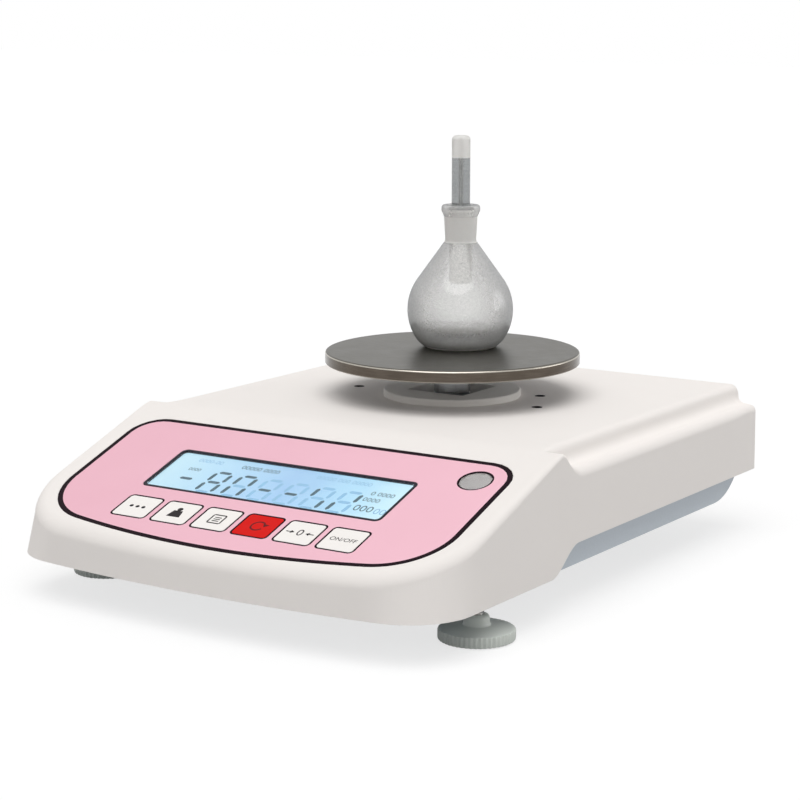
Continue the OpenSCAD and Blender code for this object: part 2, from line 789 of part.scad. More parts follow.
module display_board() {
    color(board_green) on_console(0, display_board_s, display_board_depth + board_t) {
        linear_extrude(board_t) difference() {
            polygon(rounded(display_board_w, display_board_l, 2));
            for (x = [-1, 1], y = [-1, 1])
                translate([x * display_post_x, y * display_post_s])
                    circle(r = board_screw_d / 2 + slip, $fn = round_fn);
        }
        translate([-ribbon_x, 0, -ribbon_plug_h]) ribbon_plug();
    }
}

// The plug of the flat cable, on either board.
module ribbon_plug() {
    translate([0, 0, ribbon_plug_h / 2])
        cube([ribbon_w + 2 * ribbon_plug_side, ribbon_plug_l, ribbon_plug_h], center = true);
}

plunger_h = 0.7;
plunger_r = 1.75;
module key_switches() {
    body_h = switch_h - plunger_h;
    color(switch_grey) for (i = [0:5]) on_console(key_x(i), key_row_s, display_board_depth) {
        translate([-switch_w / 2, -switch_w / 2, 0]) cube([switch_w, switch_w, body_h]);
        cylinder(r = plunger_r, h = switch_h, $fn = round_fn);
    }
}

// A screw whose head lies below z = 0 and whose shank reaches up by its grip.
head_r_share = 1.9;
head_h_share = 1.2;
module pan_head_screw(r, grip) {
    head_h = r * head_h_share;
    translate([0, 0, -head_h]) cylinder(r = r * head_r_share, h = head_h, $fn = round_fn);
    translate([0, 0, -sliver]) cylinder(r = r, h = grip + sliver, $fn = round_fn);
}

board_screw_grip = 5;
module display_screws() {
    color(steel) at_display_posts(display_board_depth + board_t)
        pan_head_screw(board_screw_d / 2, board_t + board_screw_grip - seat);
}

// A key: a flat plate flush with the overlay, on a stem that ends over its switch.
module key(i, tint) {
    stem_depth = display_board_depth - switch_h - key_travel - key_gap;
    color(tint) on_console(key_x(i), key_row_s, 0) {
        translate([0, 0, -key_t]) linear_extrude(key_t)
            polygon(rounded(key_w, key_l, key_corner_r));
        translate([0, 0, -stem_depth])
            cylinder(r = key_stem_d / 2, h = stem_depth - key_t / 2, $fn = round_fn);
    }
}

module function_key() { key(0, key_white); }
module calibrate_key() { key(1, key_white); }
module print_key() { key(2, key_white); }
module mode_key() { key(3, key_red); }
module zero_key() { key(4, key_white); }
module power_key() { key(5, key_white); }

vial_glass_t = 0.7;
cup_flange_w = 2;
cup_flange_t = 1.2;
module level_cup() {
    r = vial_d / 2 - slip;
    color(cup_grey) on_console(vial_x, vial_s, console_wall + vial_cup_l) {
        cylinder(r = r, h = vial_cup_l + console_wall - vial_glass_t - seat, $fn = round_fn);
        translate([0, 0, vial_cup_l - seat - cup_flange_t])
            cylinder(r = r + cup_flange_w, h = cup_flange_t, $fn = round_fn);
    }
}

module level_vial() {
    color(glass_tint) on_console(vial_x, vial_s, vial_glass_t)
        cylinder(r = vial_d / 2 - slip, h = vial_glass_t, $fn = round_fn);
}

// Collar ---------------------------------------------------------------------------

collar_edge_r = 0.8;
module collar_ring() {
    r = collar_d / 2;
    color(white) translate([0, pan_y, deck_h]) difference() {
        union() {
            rotate_extrude($fn = round_fn) polygon(concat(
                [[0, seat / 2], [r, seat / 2]],
                arc(r - collar_edge_r, collar_h - collar_edge_r, collar_edge_r, 0, 90,
                    small_steps),
                [[0, collar_h]]));
            translate([0, 0, -wall]) cylinder(r = collar_spigot_r, h = wall + past, $fn = round_fn);
        }
        translate([-collar_opening / 2, -collar_opening / 2, -wall - past])
            cube([collar_opening, collar_opening, wall + collar_h + 2 * past]);
    }
}

// Weighing cell --------------------------------------------------------------------

// A parallelogram cell: two bores joined by a slot leave four thin bending necks.
cell_slot_h = 6;
cell_screw_grip = 7;
spacer_side = 4;
carrier_margin = 4;
spigot_chamfer = 1;
module load_cell() {
    color(aluminium) difference() {
        translate([-cell_w / 2, cell_front_y, cell_z]) cube([cell_w, cell_l, cell_h]);
        for (end = [-1, 1])
            translate([-cell_w / 2 - past, pan_y + end * cell_bore_pitch / 2, cell_z + cell_h / 2])
                rotate([0, 90, 0]) cylinder(r = cell_bore_r, h = cell_w + 2 * past, $fn = round_fn);
        translate([-cell_w / 2 - past, pan_y - cell_bore_pitch / 2,
                   cell_z + (cell_h - cell_slot_h) / 2])
            cube([cell_w + 2 * past, cell_bore_pitch, cell_slot_h]);
        for (place = [[cell_fixed_y, cell_z - past],
                      [cell_free_y, cell_z + cell_h - cell_screw_grip - past]])
            at_cell_screws(place[0], place[1])
                cylinder(r = cell_screw_d / 2 + thread_gap, h = cell_screw_grip + 2 * past,
                         $fn = round_fn);
    }
}

module cell_spacer() {
    color(aluminium) difference() {
        translate([-cell_w / 2 - spacer_side, cell_rear_y - cell_end_l, floor_z])
            cube([cell_w + 2 * spacer_side, cell_end_l, cell_spacer_h]);
        at_cell_screws(cell_fixed_y, floor_z - past)
            cylinder(r = cell_screw_d / 2 + slip, h = cell_spacer_h + 2 * past, $fn = round_fn);
    }
}

module cell_screws() {
    color(steel) at_cell_screws(cell_fixed_y, tray_z)
        pan_head_screw(cell_screw_d / 2, tray_t + cell_spacer_h + cell_screw_grip);
}

// The arm on the cell's free end, which reaches back to the post in the pan's axis.
module pan_carrier() {
    post_h = hub_foot_z - seat - carrier_z;
    spigot_h = hub_foot_z + spigot_l - carrier_z - spigot_chamfer;
    r = spigot_d / 2;
    color(aluminium) difference() {
        union() {
            translate([-carrier_w / 2, cell_front_y, carrier_z])
                cube([carrier_w, pan_y + hub_d / 2 + carrier_margin - cell_front_y, carrier_t]);
            translate([-cell_w / 2, cell_front_y, carrier_z - carrier_pad_t])
                cube([cell_w, cell_end_l, carrier_pad_t + sliver]);
            translate([0, pan_y, carrier_z]) {
                cylinder(r = hub_d / 2, h = post_h, $fn = round_fn);
                cylinder(r = r, h = spigot_h, $fn = round_fn);
                translate([0, 0, spigot_h]) cylinder(r1 = r, r2 = r - spigot_chamfer,
                                                     h = spigot_chamfer, $fn = round_fn);
            }
        }
        at_cell_screws(cell_free_y, carrier_z - carrier_pad_t - past)
            cylinder(r = cell_screw_d / 2 + slip, h = carrier_t + carrier_pad_t + 2 * past,
                     $fn = round_fn);
    }
}

module carrier_screws() {
    color(steel) at_cell_screws(cell_free_y, carrier_z + carrier_t) mirror([0, 0, 1])
        pan_head_screw(cell_screw_d / 2, carrier_t + carrier_pad_t + cell_screw_grip);
}

// A grub screw in the tray, with its lock nut, that stops the cell's free end.
stop_r = 2;
stop_sink = 0.5;
stop_nut_r = 4;
stop_nut_share = 0.6;
module overload_stop() {
    nut_z = floor_z + stop_boss_h;
    foot_z = tray_z + stop_sink;
    color(steel) translate([0, cell_free_y, 0]) {
        translate([0, 0, foot_z]) cylinder(r = stop_r, h = cell_z - slip - foot_z, $fn = round_fn);
        translate([0, 0, nut_z])
            cylinder(r = stop_nut_r, h = (cell_z - nut_z) * stop_nut_share, $fn = 6);
    }
}

// Main board and what is on it -----------------------------------------------------

// The data port's shell stands out of its flange and ends flush with the rear wall
port_shell_out = 5.8;
flange_y = rear_y - port_shell_out;
board_rear_y = flange_y - 1;
board_front_y = board_rear_y - main_board_l;
board_z = floor_z + standoff_h;
board_top_z = board_z + board_t;
ribbon_in = 26;
ribbon_x = main_board_inner + ribbon_in;
ribbon_w = 20;
ribbon_t = 1;
ribbon_plug_h = 4;
ribbon_plug_l = 8;
ribbon_plug_side = 2;
ribbon_plug_back = 13;
chip_w = 14;
chip_t = 2;
chip_back = 45;
capacitor_r = 5;
capacitor_h = 8;
capacitor_back = 76;

module main_board() {
    centre_x = main_board_inner + main_board_w / 2;
    color(board_green) {
        difference() {
            translate([-main_board_inner - main_board_w, board_front_y, board_z])
                cube([main_board_w, main_board_l, board_t]);
            at_board_posts(board_z - past)
                cylinder(r = board_screw_d / 2 + slip, h = board_t + 2 * past, $fn = round_fn);
        }
        translate([-ribbon_x, board_front_y + ribbon_plug_back, board_top_z]) ribbon_plug();
        translate([-centre_x, board_front_y + chip_back, board_top_z + chip_t / 2])
            cube([chip_w, chip_w, chip_t], center = true);
        translate([-main_board_inner - 2 * capacitor_r, board_front_y + capacitor_back, board_top_z])
            cylinder(r = capacitor_r, h = capacitor_h, $fn = round_fn);
    }
}

module board_screws() {
    color(steel) at_board_posts(board_top_z) mirror([0, 0, 1])
        pan_head_screw(board_screw_d / 2, board_t + board_screw_grip);
}

// The flat cable between the two boards: a strip of even thickness along a path.
function along(path, i) =
    let (a = path[max(i - 1, 0)], b = path[min(i + 1, len(path) - 1)], d = b - a)
    d / norm(d);
function strip(path, t) = concat(
    [for (i = [0:len(path) - 1]) let (d = along(path, i)) path[i] + [-d[1], d[0]] * t / 2],
    [for (i = [len(path) - 1:-1:0]) let (d = along(path, i)) path[i] - [-d[1], d[0]] * t / 2]
);
// The cable leaves the display board square to it, curves onto the tray, runs back, climbs
// in front of the main board and loops over into that board's plug.
ribbon_lead = 1.5;
ribbon_lift = 3;
ribbon_climb_r = 8;
ribbon_before_board = 4;
module ribbon_cable() {
    depth = display_board_depth + board_t + ribbon_plug_h;
    s = display_board_s;
    start = [bend_y - s * cos(console_slope) + depth * sin(console_slope),
             deck_h - s * sin(console_slope) - depth * cos(console_slope)];
    lead_end = start + ribbon_lead * [sin(console_slope), -cos(console_slope)];
    low = floor_z + ribbon_lift;
    landing_r = (lead_end[1] - low) / (1 - sin(console_slope));
    landing_y = lead_end[0] + landing_r * cos(console_slope);
    end = [board_front_y + ribbon_plug_back, board_top_z + ribbon_plug_h];
    climb_y = board_front_y - ribbon_before_board;
    loop_r = (end[0] - climb_y) / 2;
    path = concat(
        [start],
        arc(landing_y, low + landing_r, landing_r, 180 + console_slope, 270, 8),
        arc(climb_y - ribbon_climb_r, low + ribbon_climb_r, ribbon_climb_r, 270, 360, 6),
        arc(climb_y + loop_r, end[1] + ribbon_lead, loop_r, 180, 0, 12),
        [end]
    );
    color(ribbon_grey) translate([-ribbon_x, 0, 0]) profile(strip(path, ribbon_t), ribbon_w);
}

// A barrel socket: a round mouth in the rear wall, a block on the board, a centre pin.
inlet_l = 13;
inlet_body_w = 10;
inlet_body_h = 11.5;
inlet_bore_r = 2.9;
inlet_depth = 9;
inlet_pin_r = 1;
module power_inlet() {
    color(trim_black) in_rear_wall(-inlet_x, rear_y - slip) {
        difference() {
            union() {
                translate([0, 0, -inlet_l]) cylinder(r = inlet_r, h = inlet_l, $fn = round_fn);
                translate([-inlet_body_w / 2, -socket_h, -inlet_l])
                    cube([inlet_body_w, inlet_body_h, inlet_l - wall - slip]);
            }
            translate([0, 0, -inlet_depth])
                cylinder(r = inlet_bore_r, h = inlet_depth + past, $fn = round_fn);
        }
        translate([0, 0, -inlet_depth - sliver])
            cylinder(r = inlet_pin_r, h = inlet_depth - past, $fn = round_fn);
    }
}

// A nine-way connector: a D-shaped shell with two rows of contacts and a jack on each side.
port_shell_w = 16.9;
port_shell_h = 8.3;
port_taper = 1.4;
port_flange_t = 1;
port_body_w = 20.9;
port_body_h = 10.8;
port_body_l = 9;
port_jack_x = 12.5;
port_jack_r = 2.6;
port_jack_h = 4.5;
port_jack_bore_r = 1.4;
contact_pitch = 2.77;
contact_rows = 2.84;
contact_r = 0.6;

module d_shape() {
    w = port_shell_w / 2;
    h = port_shell_h / 2;
    polygon([[-w, h], [w, h], [w - port_taper, -h], [port_taper - w, -h]]);
}

module data_port() {
    color(steel) in_rear_wall(-port_x, flange_y) difference() {
        union() {
            linear_extrude(port_shell_out) d_shape();
            for (side = [-1, 1]) translate([side * port_jack_x, 0, -sliver])
                cylinder(r = port_jack_r, h = port_jack_h, $fn = 6);
            translate([-port_flange_w / 2, -port_flange_h / 2, -port_flange_t])
                cube([port_flange_w, port_flange_h, port_flange_t + sliver]);
            translate([-port_body_w / 2, -socket_h, -port_body_l - sliver])
                cube([port_body_w, port_body_h, port_body_l]);
        }
        for (row = [0, 1], i = [0:4 - row])
            translate([(i - 2 + row / 2) * contact_pitch, (0.5 - row) * contact_rows, 0])
                cylinder(r = contact_r, h = port_shell_out + past, $fn = round_fn / 4);
        for (side = [-1, 1]) translate([side * port_jack_x, 0, -port_flange_t - past])
            cylinder(r = port_jack_bore_r, h = port_jack_h + 3 * past, $fn = round_fn);
    }
}

// Fasteners and feet ---------------------------------------------------------------

module case_screws() {
    color(steel) at_case_posts(tray_z + head_recess)
        pan_head_screw(case_screw_d / 2, case_screw_l);
}

module foot_inserts() {
    color(brass) for (side = [-1, 1]) translate([side * foot_x, foot_y, tray_z])
        tube(insert_r, stud_d / 2 + thread_gap, insert_l);
}

// Rubber feet with a slight taper, each on a screw whose head is deep in its recess.
foot_screw_r = 2;
foot_screw_grip = 5.5;
foot_recess = 7;
foot_taper = 1;
rear_foot_h = tray_z - seat / 2;

module at_rear_feet(z) {
    for (side = [-1, 1]) translate([side * rear_foot_spacing / 2, rear_foot_y, z]) children();
}

module rear_feet() {
    r = rear_foot_d / 2;
    color(rubber_black) at_rear_feet(0) difference() {
        rotate_extrude($fn = round_fn) polygon([
            [0, 0], [r - 2 * foot_taper, 0], [r - foot_taper, foot_taper],
            [r, rear_foot_h], [0, rear_foot_h]
        ]);
        translate([0, 0, -past])
            cylinder(r = foot_screw_r + slip, h = rear_foot_h + 2 * past, $fn = round_fn);
        translate([0, 0, -past])
            cylinder(r = foot_screw_r * head_r_share + slip, h = foot_recess + past,
                     $fn = round_fn);
    }
}

module rear_foot_screws() {
    color(steel) at_rear_feet(foot_recess)
        pan_head_screw(foot_screw_r, tray_z - foot_recess + foot_screw_grip);
}

// A levelling foot: a wheel on a screw turns on a still pad's pin.
pad_proud = 0.4;
pad_t = 1.4;
pin_r = 2;
pin_l = 1.6;
wheel_edge = 0.6;
hub_dome = 2;
wheel_top_z = pad_proud + wheel_rim_h;
hub_top_z = wheel_top_z + wheel_cone_h + wheel_hub_h;
stud_z = pad_t + pin_l + slip + wheel_edge;

module foot_pad(side) {
    color(rubber_black) translate([side * foot_x, foot_y, 0]) {
        cylinder(r = pad_d / 2, h = pad_t, $fn = round_fn);
        cylinder(r = pin_r, h = pad_t + pin_l, $fn = round_fn);
    }
}

module left_foot_pad() { foot_pad(-1); }
module right_foot_pad() { foot_pad(1); }

// A thumbwheel: a fluted rim, a low cone and a domed hub round the screw.
module foot_wheel(side) {
    r = wheel_d / 2;
    hub = wheel_hub_d / 2;
    waves = 4 * wheel_flutes;
    color(foot_grey) translate([side * foot_x, foot_y, 0]) difference() {
        intersection() {
            translate([0, 0, pad_proud]) linear_extrude(hub_top_z) polygon([
                for (i = [0:waves - 1]) let (a = 360 * i / waves,
                    reach = r - flute_depth * (1 - cos(a * wheel_flutes)) / 2)
                [reach * cos(a), reach * sin(a)]
            ]);
            rotate_extrude($fn = round_fn) polygon(concat(
                [[0, pad_proud], [r - wheel_edge, pad_proud], [r, pad_proud + wheel_edge],
                 [r, wheel_top_z - wheel_edge], [r - wheel_edge, wheel_top_z]],
                [for (i = [0:6]) let (t = i / 6)
                    [hub - hub_dome * pow(t, 3), wheel_top_z + wheel_cone_h + wheel_hub_h * t]],
                [[0, hub_top_z]]));
        }
        translate([0, 0, -past])
            cylinder(r = pad_d / 2 + slip, h = pad_t + slip + past, $fn = round_fn);
        translate([0, 0, -past])
            cylinder(r = pin_r + slip, h = pad_t + pin_l + slip + past, $fn = round_fn);
        translate([0, 0, stud_z])
            cylinder(r = stud_d / 2 + thread_gap, h = hub_top_z, $fn = round_fn);
    }
}

module left_foot_wheel() { foot_wheel(-1); }
module right_foot_wheel() { foot_wheel(1); }

stud_tip = 1;
module foot_screw(side) {
    r = stud_d / 2;
    shank_l = tray_z + stud_reach - stud_tip - stud_z;
    color(steel) translate([side * foot_x, foot_y, stud_z]) {
        cylinder(r = r, h = shank_l, $fn = round_fn);
        translate([0, 0, shank_l])
            cylinder(r1 = r, r2 = r - stud_tip, h = stud_tip, $fn = round_fn);
    }
}

module left_foot_screw() { foot_screw(-1); }
module right_foot_screw() { foot_screw(1); }

// Pan ------------------------------------------------------------------------------

pan_fn = 96;
lip_edge = 0.3;
module weighing_pan() {
    r = pan_d / 2;
    inner = r - pan_sheet;
    color(steel) translate([0, pan_y, 0]) rotate_extrude($fn = pan_fn) polygon(concat(
        [[inner, pan_lip_z], [r - lip_edge, pan_lip_z], [r, pan_lip_z + lip_edge]],
        arc(r - pan_edge_r, pan_top_z - pan_edge_r, pan_edge_r, 0, 90, small_steps),
        [[0, pan_top_z], [0, plate_top_z], [inner, plate_top_z]]
    ));
}

// The plate that carries the sheet, and the hub that drops over the carrier's spigot.
module pan_support() {
    color(aluminium) translate([0, pan_y, 0]) difference() {
        union() {
            translate([0, 0, plate_top_z - plate_t])
                cylinder(r = pan_d / 2 - pan_sheet - slip, h = plate_t, $fn = pan_fn);
            translate([0, 0, hub_foot_z])
                cylinder(r = hub_d / 2, h = plate_top_z - hub_foot_z - past, $fn = round_fn);
        }
        translate([0, 0, hub_foot_z - past])
            cylinder(r = spigot_d / 2 + slip, h = spigot_l + slip + past, $fn = round_fn);
    }
}

// Density bottle -------------------------------------------------------------------

bulb_r = bottle_d / 2;
// Where the bulb's sphere gives way to the tighter rounding of the foot, and the foot's
// lift, its ring and the floor's thickness over it
bulb_foot_angle = -30;
bottle_foot_lift = 0.4;
bottle_hollow = 0.8;
ring_w = 2;
ring_edge = 0.6;
bottle_floor_h = glass_t + 1.2;
// Flare of the shoulder at the foot of the neck
neck_flare = 1.6;
neck_land = 0.3;
// Depth of the rim's bead and of the cone under it
bead_h = 3.4;
bead_cone_h = 2;
mouth_h = 2;
foot_cx = (bulb_r - bottle_foot_r) * cos(bulb_foot_angle);
foot_cz = bottle_bulge_h + (bulb_r - bottle_foot_r) * sin(bulb_foot_angle);
// Slope of the cone that runs tangent to the bulb up to the foot of the neck
cone_reach = norm([neck_foot_d / 2, neck_foot_h - bottle_bulge_h]);
cone_bearing = atan2(neck_foot_h - bottle_bulge_h, neck_foot_d / 2);
cone_angle = cone_bearing - acos(bulb_r / cone_reach);

// The bottle's outline from the foot at height h to the neck, drawn in by t all over.
function foot_angle(t, h) = asin((h - foot_cz) / (bottle_foot_r - t));
function bottle_outline(t, h) = concat(
    arc(foot_cx, foot_cz, bottle_foot_r - t, foot_angle(t, h), bulb_foot_angle, 5),
    inner_arc(0, bottle_bulge_h, bulb_r - t, bulb_foot_angle, cone_angle, 14),
    [[(bulb_r - t) * cos(cone_angle), bottle_bulge_h + (bulb_r - t) * sin(cone_angle)],
     [neck_foot_d / 2 + neck_flare - t, neck_foot_h - neck_flare],
     [neck_foot_d / 2 + neck_land - t, neck_foot_h + 2 * neck_land]]
);
bottle_ring_r = foot_cx + bottle_foot_r * cos(foot_angle(0, bottle_foot_lift)) - ring_edge;

module at_bottle() {
    translate([bottle_x, pan_y + bottle_back, pan_top_z + seat]) children();
}

module bottle() {
    rim_r = rim_d / 2;
    mouth_r = neck_top_d / 2 - glass_t;
    bead_r = rim_r - neck_top_d / 2;
    hollow_r = bottle_ring_r - ring_w;
    color(glass_tint) at_bottle() rotate_extrude($fn = round_fn) difference() {
        polygon(concat(
            [[0, bottle_hollow], [hollow_r, ring_edge], [hollow_r + ring_edge, 0],
             [bottle_ring_r, 0]],
            bottle_outline(0, bottle_foot_lift),
            [[neck_top_d / 2, rim_h - bead_h - bead_cone_h], [rim_r - neck_land, rim_h - bead_h]],
            arc(rim_r - bead_r, rim_h - bead_r, bead_r, 0, 90, small_steps),
            [[0, rim_h]]
        ));
        polygon(concat(
            [[-past, bottle_floor_h]],
            bottle_outline(glass_t, bottle_floor_h),
            [[mouth_r, rim_h - mouth_h], [mouth_r, rim_h + past], [-past, rim_h + past]]
        ));
    }
}

// A ground plug with a capillary rod above it and a shorter tail below it.
rod_edge_r = 2;
tail_edge = 0.6;
module stopper() {
    plug_top_r = neck_top_d / 2 - glass_t - slip;
    plug_foot_r = neck_foot_d / 2 + neck_land - glass_t - slip;
    tail_r = plug_foot_r - neck_land;
    bore_r = capillary_d / 2;
    rod_r = stopper_rod_d / 2;
    top_h = stopper_top_h - seat;
    color(glass_tint) at_bottle() rotate_extrude($fn = round_fn) polygon(concat(
        [[bore_r, stopper_tail_h], [tail_r - tail_edge, stopper_tail_h],
         [tail_r, stopper_tail_h + tail_edge], [tail_r, neck_foot_h - neck_flare],
         [plug_foot_r, neck_foot_h + 2 * neck_land], [plug_top_r, rim_h - mouth_h],
         [plug_top_r - tail_edge, rim_h], [rod_r, rim_h]],
        arc(rod_r - rod_edge_r, top_h - rod_edge_r, rod_edge_r, 0, 90, 6),
        [[bore_r, top_h]]
    ));
}

upper_housing();
base_tray();
collar_ring();
front_panel();
lcd_bezel();
lcd_window();
lcd_glass();
backlight();
display_board();
key_switches();
display_screws();
function_key();
calibrate_key();
print_key();
mode_key();
zero_key();
power_key();
level_cup();
level_vial();
load_cell();
cell_spacer();
cell_screws();
pan_carrier();
carrier_screws();
overload_stop();
main_board();
board_screws();
ribbon_cable();
power_inlet();
data_port();
case_screws();
foot_inserts();
rear_feet();
rear_foot_screws();
left_foot_pad();
right_foot_pad();
left_foot_wheel();
right_foot_wheel();
left_foot_screw();
right_foot_screw();
weighing_pan();
pan_support();
bottle();
stopper();
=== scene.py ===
"""Benchtop density meter: its visible surfaces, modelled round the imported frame.

Each sub-assembly is a class that keeps its sizes in millimetres, builds its meshes and hands
them over as pieces in metres. X = 0 is the plane of symmetry, the front faces -Y, and the
bench is at z = 0.
"""

import logging
import math
from dataclasses import dataclass
from enum import Enum
from typing import Callable, Sequence

import bmesh
import bpy
from mathutils import Matrix, Vector


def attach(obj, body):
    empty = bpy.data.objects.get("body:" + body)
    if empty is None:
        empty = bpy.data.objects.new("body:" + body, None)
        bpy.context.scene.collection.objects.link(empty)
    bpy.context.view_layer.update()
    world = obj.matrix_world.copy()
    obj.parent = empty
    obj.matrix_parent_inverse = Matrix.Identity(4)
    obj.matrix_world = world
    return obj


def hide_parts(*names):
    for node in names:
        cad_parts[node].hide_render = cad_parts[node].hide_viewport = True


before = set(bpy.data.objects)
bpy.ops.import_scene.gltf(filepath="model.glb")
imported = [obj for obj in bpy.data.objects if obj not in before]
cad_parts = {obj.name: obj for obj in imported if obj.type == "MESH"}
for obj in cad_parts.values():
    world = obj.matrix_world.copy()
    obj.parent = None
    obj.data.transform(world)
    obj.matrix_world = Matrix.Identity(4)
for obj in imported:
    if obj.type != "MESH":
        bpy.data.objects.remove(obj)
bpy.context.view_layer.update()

LOG = logging.getLogger("density_meter")
MM = 0.001  # one millimetre in metres
MARK_T = 0.02  # thickness of a printed mark, in millimetres

Point = tuple[float, float]
Profile = list[Point]
Triple = tuple[float, float, float]
Colour = Triple
Mesh = bmesh.types.BMesh


# Shader building ------------------------------------------------------------------------


def tone(code: str) -> Colour:
    """Turns a display colour such as "f7f2ef" into the linear colour that shaders take.

    Args:
        code: Six hexadecimal digits, red first.

    Returns:
        Red, green and blue, linear.
    """
    parts = [int(code[i:i + 2], 16) / 255 for i in (0, 2, 4)]
    return tuple(p / 12.92 if p <= 0.04045 else ((p + 0.055) / 1.055) ** 2.4 for p in parts)


class Wire:
    """One output socket, which takes part in arithmetic as a number would."""

    def __init__(self, graph: "Graph", socket: bpy.types.NodeSocket) -> None:
        """Keeps the graph and the socket."""
        self.graph = graph
        self.socket = socket

    def output(self, name: str) -> "Wire":
        """Gives another output of the same node by its name."""
        found = next(s for s in self.socket.node.outputs if s.name == name and s.enabled)
        return Wire(self.graph, found)

    def maths(self, operation: str, *values: "Wire | float") -> "Wire":
        """Adds a Math node on these values."""
        return self.graph.node("ShaderNodeMath", {"operation": operation}, dict(enumerate(values)))

    def __add__(self, other: "Wire | float") -> "Wire":
        """Adds."""
        return self.maths("ADD", self, other)

    def __radd__(self, other: float) -> "Wire":
        """Adds, number first."""
        return self.maths("ADD", other, self)

    def __sub__(self, other: "Wire | float") -> "Wire":
        """Subtracts."""
        return self.maths("SUBTRACT", self, other)

    def __rsub__(self, other: float) -> "Wire":
        """Subtracts from a number."""
        return self.maths("SUBTRACT", other, self)

    def __mul__(self, other: "Wire | float") -> "Wire":
        """Multiplies."""
        return self.maths("MULTIPLY", self, other)

    def __rmul__(self, other: float) -> "Wire":
        """Multiplies, number first."""
        return self.maths("MULTIPLY", other, self)

    def clamped(self) -> "Wire":
        """Limits the value to 0 and 1."""
        return self.graph.node("ShaderNodeClamp", {}, {"Value": self})


class Graph:
    """The node tree of one material or of the world."""

    def __init__(self, tree: bpy.types.NodeTree) -> None:
        """Empties the tree."""
        self.tree = tree
        tree.nodes.clear()

    def node(self, kind: str, settings: dict | None = None, sockets: dict | None = None) -> Wire:
        """Adds one node.

        Args:
            kind: The node's type.
            settings: Its properties, set first; "stops" gives a ramp's positions and colours.
            sockets: Values or wires by socket name or index; a colour may be a code.

        Returns:
            The node's first output in use, or its first input where it has no output.
        """
        made = self.tree.nodes.new(kind)
        for key, value in (settings or {}).items():
            if key == "stops":
                self._set_stops(made.color_ramp, value)
            else:
                setattr(made, key, value)
        for key, value in (sockets or {}).items():
            place = made.inputs[key] if isinstance(key, int) else next(
                s for s in made.inputs if s.name == key and s.enabled)
            if isinstance(value, Wire):
                self.tree.links.new(value.socket, place)
            elif place.type == "RGBA":
                place.default_value = (*(tone(value) if isinstance(value, str) else value), 1.0)
            else:
                place.default_value = value
        ends = [s for s in made.outputs if s.enabled] or list(made.inputs)
        return Wire(self, ends[0])

    @staticmethod
    def _set_stops(ramp: bpy.types.ColorRamp, stops: Sequence[tuple[float, str]]) -> None:
        """Gives a ramp its stops."""
        while len(ramp.elements) < len(stops):
            ramp.elements.new(0.5)
        for element, (position, colour) in zip(ramp.elements, stops):
            element.position = position
            element.color = (*tone(colour), 1.0)

    def mix(self, factor: "Wire | float", a: "Wire | Colour | str",
            b: "Wire | Colour | str") -> Wire:
        """Mixes two colours."""
        return self.node("ShaderNodeMix", {"data_type": "RGBA"}, {"Factor": factor, "A": a, "B": b})

    def place(self) -> Wire:
        """Gives the point in the piece's own coordinates, in metres."""
        return self.node("ShaderNodeTexCoord").output("Object")

    def axis(self, name: str) -> Wire:
        """Gives one coordinate of the point, X, Y or Z."""
        return self.node("ShaderNodeSeparateXYZ", {}, {"Vector": self.place()}).output(name)

    def stretched(self, scale: Triple) -> Wire:
        """Gives the point scaled along each axis."""
        return self.node("ShaderNodeMapping", {}, {"Vector": self.place(), "Scale": scale})

    def noise(self, size: float, detail: float = 3.0, where: Wire | None = None) -> Wire:
        """Adds a noise from 0 to 1 about 0.5.

        Args:
            size: Size of its features in millimetres.
            detail: Octaves of finer noise.
            where: The point to read, or None for the piece's own coordinates.

        Returns:
            The noise's value.
        """
        return self.node("ShaderNodeTexNoise", {}, {
            "Vector": where or self.place(), "Scale": 1 / (size * MM), "Detail": detail,
            "Roughness": 0.55})

    def bump(self, height: Wire, depth: float) -> Wire:
        """Adds relief of a height from 0 to 1, times a depth in millimetres."""
        return self.node("ShaderNodeBump", {}, {"Distance": depth * MM, "Height": height})

    def ramped(self, value: Wire, stops: Sequence[tuple[float, str]]) -> Wire:
        """Colours a value through a ramp."""
        return self.node("ShaderNodeValToRGB", {"stops": stops}, {"Fac": value})

    def spread(self, value: Wire, low: float, high: float, a: float, b: float) -> Wire:
        """Maps a value from one range onto another and holds it there."""
        return self.node("ShaderNodeMapRange", {"clamp": True}, {
            "Value": value, "From Min": low, "From Max": high, "To Min": a, "To Max": b})

    def principled(self, sockets: dict) -> Wire:
        """Adds the surface shader."""
        return self.node("ShaderNodeBsdfPrincipled", {}, sockets)

    def output(self, shader: Wire, kind: str = "ShaderNodeOutputMaterial") -> None:
        """Joins a shader to the output."""
        self.node(kind, {}, {"Surface": shader})


class Finish:
    """A surface finish, made into one shared material when it is first used."""

    made: dict["Finish", bpy.types.Material] = {}

    def material(self) -> bpy.types.Material:
        """Gives the finish's material."""
        if self not in Finish.made:
            material = bpy.data.materials.new(self.name)
            material.use_nodes = True
            graph = Graph(material.node_tree)
            graph.output(self.shader(graph))
            Finish.made[self] = material
        return Finish.made[self]

    def shader(self, graph: Graph) -> Wire:
        """Builds the surface; each finish has its own."""
        raise NotImplementedError


